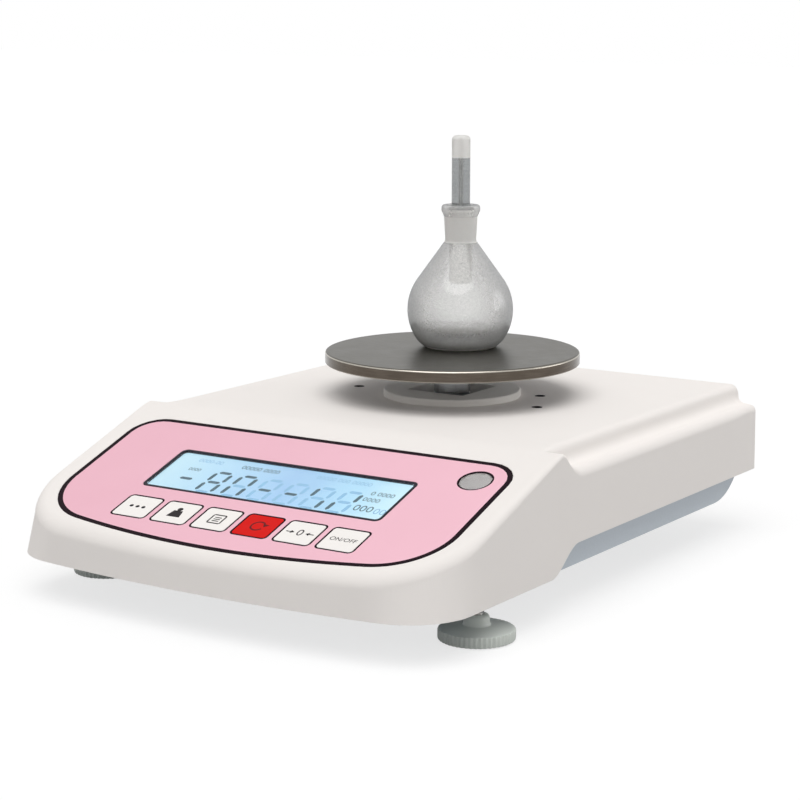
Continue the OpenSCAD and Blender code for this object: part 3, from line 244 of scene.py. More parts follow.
@dataclass(frozen=True)
class MouldedPlastic(Finish):
    """Moulded plastic with a spark-eroded grain and a slight drift of colour."""

    name: str
    code: str
    roughness: float = 0.42
    grain: float = 0.55
    relief: float = 0.02
    drift: float = 0.03
    speckle: float = 0.02
    specular: float = 0.4

    def shader(self, graph: Graph) -> Wire:
        """Builds the plastic."""
        grain = graph.noise(self.grain, 2.0)
        cloud = graph.noise(38, 2.0)
        base = tone(self.code)
        swing = min(0.5, 1 / max(base) - 1)
        shade = (cloud - 0.5) * (self.drift / swing) + (grain - 0.5) * (self.speckle / swing)
        dark = tuple(c * (1 - swing) for c in base)
        light = tuple(c * (1 + swing) for c in base)
        colour = graph.mix((shade * 0.5 + 0.5).clamped(), dark, light)
        worn = graph.noise(9, 3.0)
        return graph.principled({
            "Base Color": colour,
            "Roughness": (self.roughness + (worn - 0.5) * 0.16).clamped(),
            "Specular IOR Level": self.specular,
            "Normal": graph.bump(grain, self.relief),
        })


@dataclass(frozen=True)
class PrintedFilm(Finish):
    """Printed polyester film: one colour that lightens to the right, under a satin face."""

    name: str
    left: str
    right: str
    half_span: float = 105.0
    roughness: float = 0.36

    def shader(self, graph: Graph) -> Wire:
        """Builds the film."""
        along = graph.spread(graph.axis("X"), -self.half_span * MM, self.half_span * MM, 0, 1)
        cloud = graph.noise(30, 3.0)
        base = graph.mix((along + (cloud - 0.5) * 0.5).clamped(), self.left, self.right)
        print_grain = graph.noise(0.35, 2.0)
        pale = tuple(min(1.0, c * 1.06) for c in tone(self.right))
        colour = graph.mix((print_grain * 0.22).clamped(), base, pale)
        return graph.principled({
            "Base Color": colour,
            "Roughness": (self.roughness + (print_grain - 0.5) * 0.1).clamped(),
            "Specular IOR Level": 0.35,
            "Normal": graph.bump(print_grain, 0.006),
        })


@dataclass(frozen=True)
class Ink(Finish):
    """Printed or liquid-crystal marks, very slightly uneven."""

    name: str
    code: str
    roughness: float = 0.5
    unevenness: float = 0.2
    specular: float = 0.1

    def shader(self, graph: Graph) -> Wire:
        """Builds the ink."""
        grain = graph.noise(0.5, 2.0)
        light = tuple(min(1.0, c * 1.8 + 0.004) for c in tone(self.code))
        return graph.principled({
            "Base Color": graph.mix((grain * self.unevenness).clamped(), self.code, light),
            "Roughness": (self.roughness + (grain - 0.5) * 0.1).clamped(),
            "Specular IOR Level": self.specular,
        })


class Brushing(Enum):
    """Ways in which a metal's surface was worked."""

    SHEET = "fine lines across a sheet"
    TURNED = "fine rings round an upright axis"
    PLAIN = "an even, blasted skin"


@dataclass(frozen=True)
class Metal(Finish):
    """A bare metal with its working marks, slight stains and uneven gloss; on the pan's rim the
    wide cloudy patches are painted reflections.
    """

    name: str
    code: str
    shade: str
    brushing: Brushing = Brushing.PLAIN
    roughness: float = 0.3
    relief: float = 0.01

    def shader(self, graph: Graph) -> Wire:
        """Builds the metal."""
        stretch = {
            Brushing.SHEET: (0.06, 1.0, 1.0),
            Brushing.TURNED: (0.04, 0.04, 1.0),
            Brushing.PLAIN: (1.0, 1.0, 1.0),
        }[self.brushing]
        lines = graph.noise(0.45, 3.0, graph.stretched(stretch))
        cloud = graph.noise(14, 3.0)
        mark = (lines * 0.6 + cloud * 0.6 - 0.1).clamped()
        return graph.principled({
            "Base Color": graph.mix(mark, self.shade, self.code),
            "Metallic": 1.0,
            "Roughness": (self.roughness + (lines - 0.5) * 0.18 + (cloud - 0.5) * 0.1).clamped(),
            "Normal": graph.bump(lines, self.relief),
        })


@dataclass(frozen=True)
class Glass(Finish):
    """Clear or ground glass, with the ripple and seeds of blown work."""

    name: str
    tint: str
    haze: str = "ffffff"
    # Painted shade: the darker colour that the milky share takes where the wall is seen on end.
    painted_edge_shade: str = "ffffff"
    roughness: float = 0.0
    ior: float = 1.47
    ripple: float = 0.02
    grain: float = 0.0
    milk: float = 0.0  # share of milky diffusion
    edge: float = 0.0  # what the share gains where the wall is seen on end
    # Painted highlight: the foot share whitens the glass into a bright line at foot_z.
    foot: float = 0.0  # what it gains at foot_z, fading out over foot_h above
    foot_z: float = 92.0
    foot_h: float = 10.0

    def shader(self, graph: Graph) -> Wire:
        """Builds the glass: a clear shader, with a share of milky diffusion that grows towards the
        glass's own edges, where the wall is seen on end and the milky part darkens as painted
        shade, and towards its foot as a painted highlight."""
        wave = graph.noise(5, 2.0)
        seed = graph.noise(0.9, 3.0)
        height = wave * (1 - self.grain) + seed * self.grain
        normal = graph.bump(height, self.ripple)
        clear = graph.principled({
            "Base Color": self.tint, "Roughness": self.roughness, "IOR": self.ior,
            "Transmission Weight": 1.0, "Normal": normal})
        if not self.milk:
            return clear
        # Where the wall is seen on end, the milky part turns to the darker edge colour: painted
        # shade.
        facing = graph.node("ShaderNodeLayerWeight", {}, {"Blend": 0.4}).output("Facing")
        milky = graph.principled({
            "Base Color": graph.mix(facing, self.haze, self.painted_edge_shade),
            "Roughness": 0.5, "Specular IOR Level": 0.5, "Normal": normal})
        share = graph.spread(seed, 0.3, 0.7, self.milk * 0.5, min(1.0, self.milk * 1.5))
        # The milky share grows near the foot: a painted highlight line.
        base = graph.spread(graph.axis("Z"), self.foot_z * MM,
                            (self.foot_z + self.foot_h) * MM, self.foot, 0.0)
        share = (share + facing * self.edge + base).clamped()
        return graph.node("ShaderNodeMixShader", {}, {0: share, 1: clear, 2: milky})


@dataclass(frozen=True)
class LitDisplay(Finish):
    """A backlit liquid-crystal face that turns from cyan-white to blue across its width."""

    name: str
    stops: tuple[tuple[float, str], ...]
    half_span: float = 64.0
    strength: float = 1.0

    def shader(self, graph: Graph) -> Wire:
        """Builds the display's glow."""
        along = graph.spread(graph.axis("X"), -self.half_span * MM, self.half_span * MM, 0, 1)
        cloud = graph.noise(16, 2.0)
        glow = graph.ramped((along + (cloud - 0.5) * 0.12).clamped(), self.stops)
        return graph.principled({
            "Base Color": (0.05, 0.07, 0.08), "Roughness": 0.25,
            "Emission Color": glow, "Emission Strength": self.strength,
            "Normal": graph.bump(cloud, 0.004)})


@dataclass(frozen=True)
class CircuitBoard(Finish):
    """Green solder mask over copper lanes."""

    name: str
    mask: str
    lane: str

    def shader(self, graph: Graph) -> Wire:
        """Builds the board."""
        lanes = graph.node("ShaderNodeTexBrick", {}, {
            "Vector": graph.place(), "Scale": 1 / (5 * MM), "Mortar Size": 0.04,
            "Color1": (0.0, 0.0, 0.0), "Color2": (0.0, 0.0, 0.0), "Mortar": (1.0, 1.0, 1.0)})
        grain = graph.noise(2, 2.0)
        return graph.principled({
            "Base Color": graph.mix(lanes, self.mask, self.lane),
            "Roughness": (0.3 + grain * 0.2).clamped(),
            "Normal": graph.bump(lanes, 0.03)})


WHITE_ABS = MouldedPlastic("white_abs", "f8f3ef", roughness=0.55, drift=0.02, speckle=0.012,
                           specular=0.08)
COLLAR_ABS = MouldedPlastic("collar_abs", "f4f1ec", roughness=0.5, drift=0.03, specular=0.2)
GREY_ABS = MouldedPlastic("grey_abs", "c9d1d9", roughness=0.6, grain=0.8, relief=0.05, drift=0.05,
                          speckle=0.09)
FOOT_PLASTIC = MouldedPlastic("foot_plastic", "d6dbd5", roughness=0.45, drift=0.06)
KEY_FACE = MouldedPlastic("key_face", "fbf7f3", roughness=0.4, grain=0.4, relief=0.006, drift=0.02,
                          speckle=0.012)
KEY_RED = MouldedPlastic("key_red_face", "dc140e", roughness=0.45, grain=0.4, relief=0.006,
                         speckle=0.03, specular=0.06)
BLACK_PLASTIC = MouldedPlastic("black_plastic", "161517", roughness=0.5, specular=0.2)
SWITCH_PLASTIC = MouldedPlastic("switch_plastic", "333236", roughness=0.45)
CUP_PLASTIC = MouldedPlastic("cup_plastic", "979493", roughness=0.3, drift=0.12)
LIGHT_GUIDE = MouldedPlastic("light_guide_acrylic", "e8eef2", roughness=0.2)
RIBBON = MouldedPlastic("ribbon_grey_pvc", "8f9498", roughness=0.5)
RUBBER = MouldedPlastic("black_rubber", "242424", roughness=0.75, grain=0.9, relief=0.05)
PINK_FILM = PrintedFilm("pink_film", "efb6c6", "f9c3d2")
MAROON_INK = Ink("maroon_ink", "170710", specular=0.04)
MODE_INK = Ink("mode_sign_ink", "5c0f14")
LABEL_INK = Ink("label_ink", "241f22")
FRAME_INK = Ink("display_frame_ink", "17121f", roughness=0.4, specular=0.15)
LIT_SEGMENT = Ink("lit_segment", "435c68")
PALE_SEGMENT = Ink("pale_segment", "7eabcc")
DISPLAY = LitDisplay("display_glow", ((0.0, "b2d6e4"), (0.25, "a2cbe4"), (0.55, "8bb5dc"),
                                      (0.8, "9dcce6"), (1.0, "bee1ee")))
PAN_SHEET = Metal("pan_sheet", "5d5a53", "45433c", Brushing.SHEET, 0.38, 0.02)
# Painted reflection and highlight: the rim is a darker, patchier copy of the pan's steel, and its
# slanted edges a lighter copy.
PAN_RIM_PAINTED_REFLECTION = Metal("pan_rim_painted_reflection", "756c62", "38302a", Brushing.TURNED, 0.2, 0.008)
PAN_EDGE_PAINTED_HIGHLIGHT = Metal("pan_edge_painted_highlight", "c6c1b6", "97918a", Brushing.TURNED, 0.25, 0.004)
TURNED_ALLOY = Metal("turned_alloy", "c3c4c5", "98999b", Brushing.TURNED, 0.25)
MILLED_ALLOY = Metal("milled_alloy", "cfd1d3", "aeb0b3", Brushing.SHEET, 0.3)
STEEL = Metal("bright_steel", "c9c8c5", "9b9a98", Brushing.PLAIN, 0.25)
TIN_PLATE = Metal("tin_plate", "d2d1cd", "b3b2ad", Brushing.PLAIN, 0.3)
BRASS = Metal("brass", "cfae62", "a98743", Brushing.TURNED, 0.28)
WINDOW = Glass("clear_window", "ffffff", ior=1.12, ripple=0.0)
# Painted shade: the fourth colour of each milky glass is the darker colour laid where its wall is
# seen on end. The bottle's foot share is a painted highlight line at its foot.
BOTTLE_GLASS = Glass("bottle_glass", "fbfbfa", "eeedec", "5e6266", roughness=0.04, ripple=0.07,
                     grain=0.6, milk=0.14, edge=0.85, foot=0.3125)
GROUND_GLASS = Glass("ground_glass", "fefefc", "fdfcf9", "e3e1dc", roughness=0.4, ripple=0.02,
                     grain=0.8, milk=0.6, edge=0.15)
TAIL_GLASS = Glass("tail_glass", "f4f4f1", "faf8f4", "c9c7c3", roughness=0.25, ripple=0.03,
                   grain=0.6, milk=0.75, edge=0.2)
ROD_GLASS = Glass("rod_glass", "a8abac", "a0a2a2", "73777a", roughness=0.05, ripple=0.04, grain=0.5,
                  milk=0.2, edge=0.2)
BOARD = CircuitBoard("circuit_board", "1f5a38", "3c8257")


# Mesh building --------------------------------------------------------------------------


def arc(cx: float, cy: float, r: float, a0: float, a1: float, steps: int) -> Profile:
    """Gives points on a circle.

    Args:
        cx: Centre, first coordinate.
        cy: Centre, second coordinate.
        r: Radius.
        a0: First angle in degrees.
        a1: Last angle in degrees.
        steps: Number of equal steps between them.

    Returns:
        The points, both ends included.
    """
    angles = [math.radians(a0 + (a1 - a0) * i / steps) for i in range(steps + 1)]
    return [(cx + r * math.cos(a), cy + r * math.sin(a)) for a in angles]


def rounded(w: float, h: float, r: float, steps: int = 6) -> Profile:
    """Gives a rectangle with rounded corners, centred, anticlockwise."""
    x, y = w / 2 - r, h / 2 - r
    return (arc(x, y, r, 0, 90, steps) + arc(-x, y, r, 90, 180, steps)
            + arc(-x, -y, r, 180, 270, steps) + arc(x, -y, r, 270, 360, steps))


def circle(r: float, steps: int = 64) -> Profile:
    """Gives a full circle's points."""
    return arc(0, 0, r, 0, 360, steps)[:-1]


def shifted(outline: Profile, x: float, y: float) -> Profile:
    """Moves an outline."""
    return [(px + x, py + y) for px, py in outline]


def turned(outline: Profile, degrees: float) -> Profile:
    """Turns an outline round its origin."""
    c, s = math.cos(math.radians(degrees)), math.sin(math.radians(degrees))
    return [(x * c - y * s, x * s + y * c) for x, y in outline]


def ring_of(bm: Mesh, outline: Profile, z: float = 0.0) -> list:
    """Draws a closed loop and gives its edges."""
    verts = [bm.verts.new((x, y, z)) for x, y in outline]
    return [bm.edges.new((v, verts[(i + 1) % len(verts)])) for i, v in enumerate(verts)]


def faces_in(geometry: Sequence) -> list:
    """Picks the faces out of an operator's result."""
    return [g for g in geometry if isinstance(g, bmesh.types.BMFace)]


def verts_in(geometry: Sequence) -> list:
    """Picks the vertices out of an operator's result."""
    return [g for g in geometry if isinstance(g, bmesh.types.BMVert)]


def thicken(bm: Mesh, depth: float) -> None:
    """Gives a flat sheet of faces a depth downwards."""
    made = bmesh.ops.extrude_face_region(bm, geom=bm.faces[:], use_keep_orig=True)
    bmesh.ops.translate(bm, verts=verts_in(made["geom"]), vec=(0, 0, -depth))
    bmesh.ops.recalc_face_normals(bm, faces=bm.faces[:])


def prism(outline: Profile, z0: float, z1: float) -> Mesh:
    """Raises an outline into a solid between two heights."""
    bm = bmesh.new()
    bmesh.ops.contextual_create(bm, geom=ring_of(bm, outline, z1))
    thicken(bm, z1 - z0)
    return bm


def holed_plate(loops: Sequence[Profile], z0: float, z1: float) -> Mesh:
    """Raises a sheet with holes into a solid between two heights."""
    bm = bmesh.new()
    edges = [e for outline in loops for e in ring_of(bm, outline, z1)]
    bmesh.ops.triangle_fill(bm, edges=edges, use_beauty=True)
    thicken(bm, z1 - z0)
    return bm


def revolved(profile: Profile, steps: int = 128) -> Mesh:
    """Spins a closed profile of (radius, height) points into a solid.

    Args:
        profile: The points, from the foot outwards and up.
        steps: Steps of the full turn.

    Returns:
        The solid, seams and poles merged.
    """
    bm = bmesh.new()
    verts = [bm.verts.new((r, 0, z)) for r, z in profile]
    pairs = list(zip(verts, verts[1:] + verts[:1]))
    on_axis = [(a, b) for a, b in pairs if a.co.x < 1e-6 and b.co.x < 1e-6]
    edges = [bm.edges.new(p) for p in pairs if p not in on_axis]
    bmesh.ops.spin(bm, geom=verts + edges, cent=(0, 0, 0), axis=(0, 0, 1), dvec=(0, 0, 0),
                   angle=math.tau, steps=steps, use_merge=True)
    bmesh.ops.remove_doubles(bm, verts=bm.verts[:], dist=1e-4)
    bmesh.ops.recalc_face_normals(bm, faces=bm.faces[:])
    return bm


def softened(bm: Mesh, width: float, segments: int = 2, angle: float = 50.0) -> Mesh:
    """Bevels a solid's edges that turn by more than an angle."""
    sharp = [e for e in bm.edges
             if len(e.link_faces) == 2 and e.calc_face_angle(0) > math.radians(angle)]
    bmesh.ops.bevel(bm, geom=sharp, offset=width, segments=segments, profile=0.5,
                    affect="EDGES", material=-1, clamp_overlap=True)
    return bm


def placed(bm: Mesh, matrix: Matrix) -> Mesh:
    """Moves a whole mesh."""
    bmesh.ops.transform(bm, matrix=matrix, verts=bm.verts[:])
    return bm


def moved(bm: Mesh, x: float, y: float, z: float = 0.0) -> Mesh:
    """Shifts a whole mesh."""
    return placed(bm, Matrix.Translation((x, y, z)))


def settled(bm: Mesh, name: str) -> bpy.types.Mesh:
    """Turns a working mesh into mesh data, and uses it up."""
    mesh = bpy.data.meshes.new(name)
    bm.to_mesh(mesh)
    bm.free()
    return mesh


def added(name: str, data: bpy.types.ID) -> bpy.types.Object:
    """Puts a new object with this data into the scene."""
    obj = bpy.data.objects.new(name, data)
    bpy.context.scene.collection.objects.link(obj)
    return obj


def evaluated(obj: bpy.types.Object) -> Mesh:
    """Reads the mesh that an object's modifiers or type make."""
    bpy.context.view_layer.update()
    bm = bmesh.new()
    bm.from_mesh(obj.evaluated_get(bpy.context.evaluated_depsgraph_get()).to_mesh())
    return bm


def parted(bm: Mesh, normal: Triple, reach: float, dist: float, clear: bool = False) -> None:
    """Divides a mesh along a plane.

    Args:
        bm: The mesh.
        normal: The plane's direction.
        reach: The plane's distance from the origin.
        dist: How near a vertex counts as being on the plane.
        clear: Whether what lies beyond the plane goes.
    """
    bmesh.ops.bisect_plane(bm, geom=bm.verts[:] + bm.edges[:] + bm.faces[:], dist=dist,
                           plane_co=Vector(normal) * reach, plane_no=normal, clear_outer=clear)


def joined(parts: Sequence[Mesh]) -> Mesh:
    """Puts several meshes into the first, keeping each face's material number."""
    whole = parts[0]
    for part in parts[1:]:
        scratch = settled(part, "scratch")
        whole.from_mesh(scratch)
        bpy.data.meshes.remove(scratch)
    return whole


def painted(bm: Mesh, number: int) -> Mesh:
    """Gives every face a material number."""
    for face in bm.faces:
        face.material_index = number
    return bm


def carved(body: Mesh, cutter: Mesh) -> Mesh:
    """Cuts one solid out of another exactly, and uses both up.

    Args:
        body: The solid to work on.
        cutter: The solid to take out of it.

    Returns:
        The new solid.
    """
    pair = [added(name, settled(bm, name)) for name, bm in (("work", body), ("tool", cutter))]
    cut = pair[0].modifiers.new("cut", "BOOLEAN")
    cut.object, cut.operation, cut.solver = pair[1], "DIFFERENCE", "EXACT"
    cut.use_self = True
    result = evaluated(pair[0])
    for obj in pair:
        mesh = obj.data
        bpy.data.objects.remove(obj)
        bpy.data.meshes.remove(mesh)
    bmesh.ops.dissolve_degenerate(result, dist=1e-4, edges=result.edges[:])
    return result


def lettering(words: str, height: float) -> Mesh:
    """Makes printed characters, centred on the origin.

    Args:
        words: What to write.
        height: Size of the type in millimetres.

    Returns:
        The characters as a thin solid.
    """
    curve = bpy.data.curves.new("lettering", "FONT")
    curve.body, curve.size = words, height
    curve.align_x, curve.align_y = "CENTER", "CENTER"
    curve.resolution_u = 3
    holder = added("lettering", curve)
    bm = evaluated(holder)
    bpy.data.objects.remove(holder)
    bpy.data.curves.remove(curve)
    bmesh.ops.remove_doubles(bm, verts=bm.verts[:], dist=1e-3)
    thicken(bm, MARK_T)
    return bm


def mark(outline: Profile) -> Mesh:
    """Makes one printed mark from its outline."""
    return prism(outline, -MARK_T, 0)


def bar(x0: float, y0: float, x1: float, y1: float, width: float) -> Mesh:
    """Makes a printed bar between two points, its ends cut to points as a segment's are."""
    length = math.hypot(x1 - x0, y1 - y0)
    half, tip = length / 2, min(width, length) / 2
    outline = [(-half, 0), (tip - half, -width / 2), (half - tip, -width / 2), (half, 0),
               (half - tip, width / 2), (tip - half, width / 2)]
    angle = math.degrees(math.atan2(y1 - y0, x1 - x0))
    return mark(shifted(turned(outline, angle), (x0 + x1) / 2, (y0 + y1) / 2))


def deliver(bm: Mesh, name: str, body: str, slot: str, finishes: Sequence[Finish],
            stands_for: Sequence[str] = (), crease: float = 35.0) -> bpy.types.Object:
    """Turns a mesh in millimetres into a piece that rides on the frame.

    Args:
        bm: The mesh, which is used up.
        name: The piece's name.
        body: The body that it moves with.
        slot: A material slot's name; not used.
        finishes: The finishes, in the order of the faces' material numbers.
        stands_for: CAD nodes that the piece takes the place of.
        crease: Angle in degrees from which an edge stays sharp.

    Returns:
        The piece.
    """
    mesh = settled(bm, name)
    mesh.transform(Matrix.Scale(MM, 4))
    for finish in finishes:
        mesh.materials.append(finish.material())
    mesh.shade_smooth()
    mesh.set_sharp_from_angle(angle=math.radians(crease))
    obj = added(name, mesh)
    obj.modifiers.new("even_shading", "WEIGHTED_NORMAL").keep_sharp = True
    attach(obj, body)
    if stands_for:
        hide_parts(*stands_for)
    LOG.info("%s: %d faces, on %s", name, len(mesh.polygons), body)
    return obj


# Shared shapes of the housing -----------------------------------------------------------


@dataclass(frozen=True)
class Shield:
    """A plan outline with straight sides, a bowed front between large corners, and a
    straight rear between small ones."""

    half_w: float
    front: float
    rear: float
    corner_r: float
    bow_r: float
    rear_r: float
    least_r: float = 0.4

    def inset(self, d: float) -> "Shield":
        """Gives the same outline drawn in by d."""
        return Shield(self.half_w - d, self.front + d, self.rear - d, self.corner_r - d,
                      self.bow_r - d, max(self.rear_r - d, self.least_r))

    @property
    def bow_y(self) -> float:
        """Centre of the bow."""
        return self.front + self.bow_r

    @property
    def corner_y(self) -> float:
        """Centres of the front corners."""
        return self.bow_y - math.sqrt((self.bow_r - self.corner_r) ** 2
                                      - (self.half_w - self.corner_r) ** 2)

    @property
    def turn(self) -> float:
        """Half of the angle that the bow spans, in degrees."""
        return math.degrees(math.asin((self.half_w - self.corner_r)
                                      / (self.bow_r - self.corner_r)))

    def points(self, corner_steps: int = 32, bow_steps: int = 32, rear_steps: int = 6) -> Profile:
        """Gives the outline anticlockwise, from the left front corner."""
        cx, cy, a = self.half_w - self.corner_r, self.corner_y, self.turn
        rx, ry = self.half_w - self.rear_r, self.rear - self.rear_r
        return (arc(-cx, cy, self.corner_r, 180, 270 - a, corner_steps)
                + arc(0, self.bow_y, self.bow_r, 270 - a, 270 + a, bow_steps)[1:-1]
                + arc(cx, cy, self.corner_r, 270 + a, 360, corner_steps)
                + arc(rx, ry, self.rear_r, 0, 90, rear_steps)
                + arc(-rx, ry, self.rear_r, 90, 180, rear_steps))

    def depth(self, x: float, y: float) -> float:
        """Gives how far inside the outline a point lies."""
        x = abs(x)
        rx, ry = self.half_w - self.rear_r, self.rear - self.rear_r
        if x > rx and y > ry:
            return self.rear_r - math.hypot(x - rx, y - ry)
        if y >= self.corner_y:
            return min(self.half_w - x, self.rear - y)
        cx = self.half_w - self.corner_r
        if math.degrees(math.atan2(x, self.bow_y - y)) < self.turn:
            return self.bow_r - math.hypot(x, y - self.bow_y)
        if x < cx:
            return self.corner_r
        return self.corner_r - math.hypot(x - cx, y - self.corner_y)

    def outward(self, x: float, y: float) -> Vector:
        """Gives the direction straight out of the outline at a point near it."""
        step = 0.01
        dx = self.depth(x + step, y) - self.depth(x - step, y)
        dy = self.depth(x, y + step) - self.depth(x, y - step)
        return -Vector((dx, dy, 0)).normalized()


@dataclass(frozen=True)
class Sizes:
    """Sizes that several sub-assemblies share, in millimetres."""

    half_w: float = 111.15
    front: float = -149.5
    rear: float = 149.5
    bend_y: float = -42.6
    pan_y: float = 48.0
    deck_half: float = 100.85
    deck_h: float = 70.4
    shoulder_drop: float = 10.2
    wing_y: float = -40.4
    wing_run: float = 17.0
    slope: float = 18.7
    skirt_h: float = 18.4
    skirt_rise: float = 11.6
    skirt_y: float = -51.6
    skirt_run: float = 23.5
    console_wall: float = 3.0
    wall: float = 2.5
    board_depth: float = 9.1
    collar_spigot_r: float = 24.12
    foot_x: float = 97.2
    foot_y: float = -88.0
    bottle_x: float = -2.7
    bottle_y: float = 59.2
    bottle_z: float = 92.0
    pan_top: float = 91.8
    film_lean: float = 1.9
    film_lift: float = 1.6

    @property
    def plan(self) -> Shield:
        """The plan that the housing's hollow follows."""
        return Shield(self.half_w, self.front, self.rear, 38.0, 650.0, 4.5)

    @property
    def head(self) -> Shield:
        """The housing's plan at the top of its wall."""
        return Shield(self.half_w - 0.3, self.front + 0.8, self.rear, 38.0, 650.0, 2.0)

    @property
    def foot(self) -> Shield:
        """The housing's plan at its skirt, where the front corners are tighter."""
        return Shield(self.half_w, self.front, self.rear, 29.0, 650.0, 2.0)

    @property
    def slope_l(self) -> float:
        """Length of the console along its slope."""
        return (self.bend_y - self.front) / math.cos(math.radians(self.slope))

    @property
    def panel(self) -> Shield:
        """The overlay's outline, in the console's own plane."""
        return Shield(self.half_w - 10.65, 4.4 - self.slope_l, -13.8, 32.0, 420.0, 15.0)

    def film_line(self, inset: float) -> Profile:
        """Gives the film's outline drawn in by a distance, its foot a little to the right."""
        line = []
        for x, y in self.panel.inset(inset).points():
            low = min(1.0, max(0.0, (self.panel.rear - y) / (self.panel.rear - self.panel.front)))
            line.append((x + self.film_lean * low, y + self.film_lift * low))
        return line

    @property
    def on_console(self) -> Matrix:
        """Carries x, down-slope (negative y) and height over the surface onto the console."""
        return (Matrix.Translation((0, self.bend_y, self.deck_h))
                @ Matrix.Rotation(math.radians(self.slope), 4, "X"))


SIZE = Sizes()


def set_on_console(bm: Mesh, x: float = 0.0, s: float = 0.0, up: float = 0.0) -> Mesh:
    """Puts a mesh on the console's face, s millimetres down the slope."""
    return placed(bm, SIZE.on_console @ Matrix.Translation((x, -s, up)))


# Sub-assemblies -------------------------------------------------------------------------


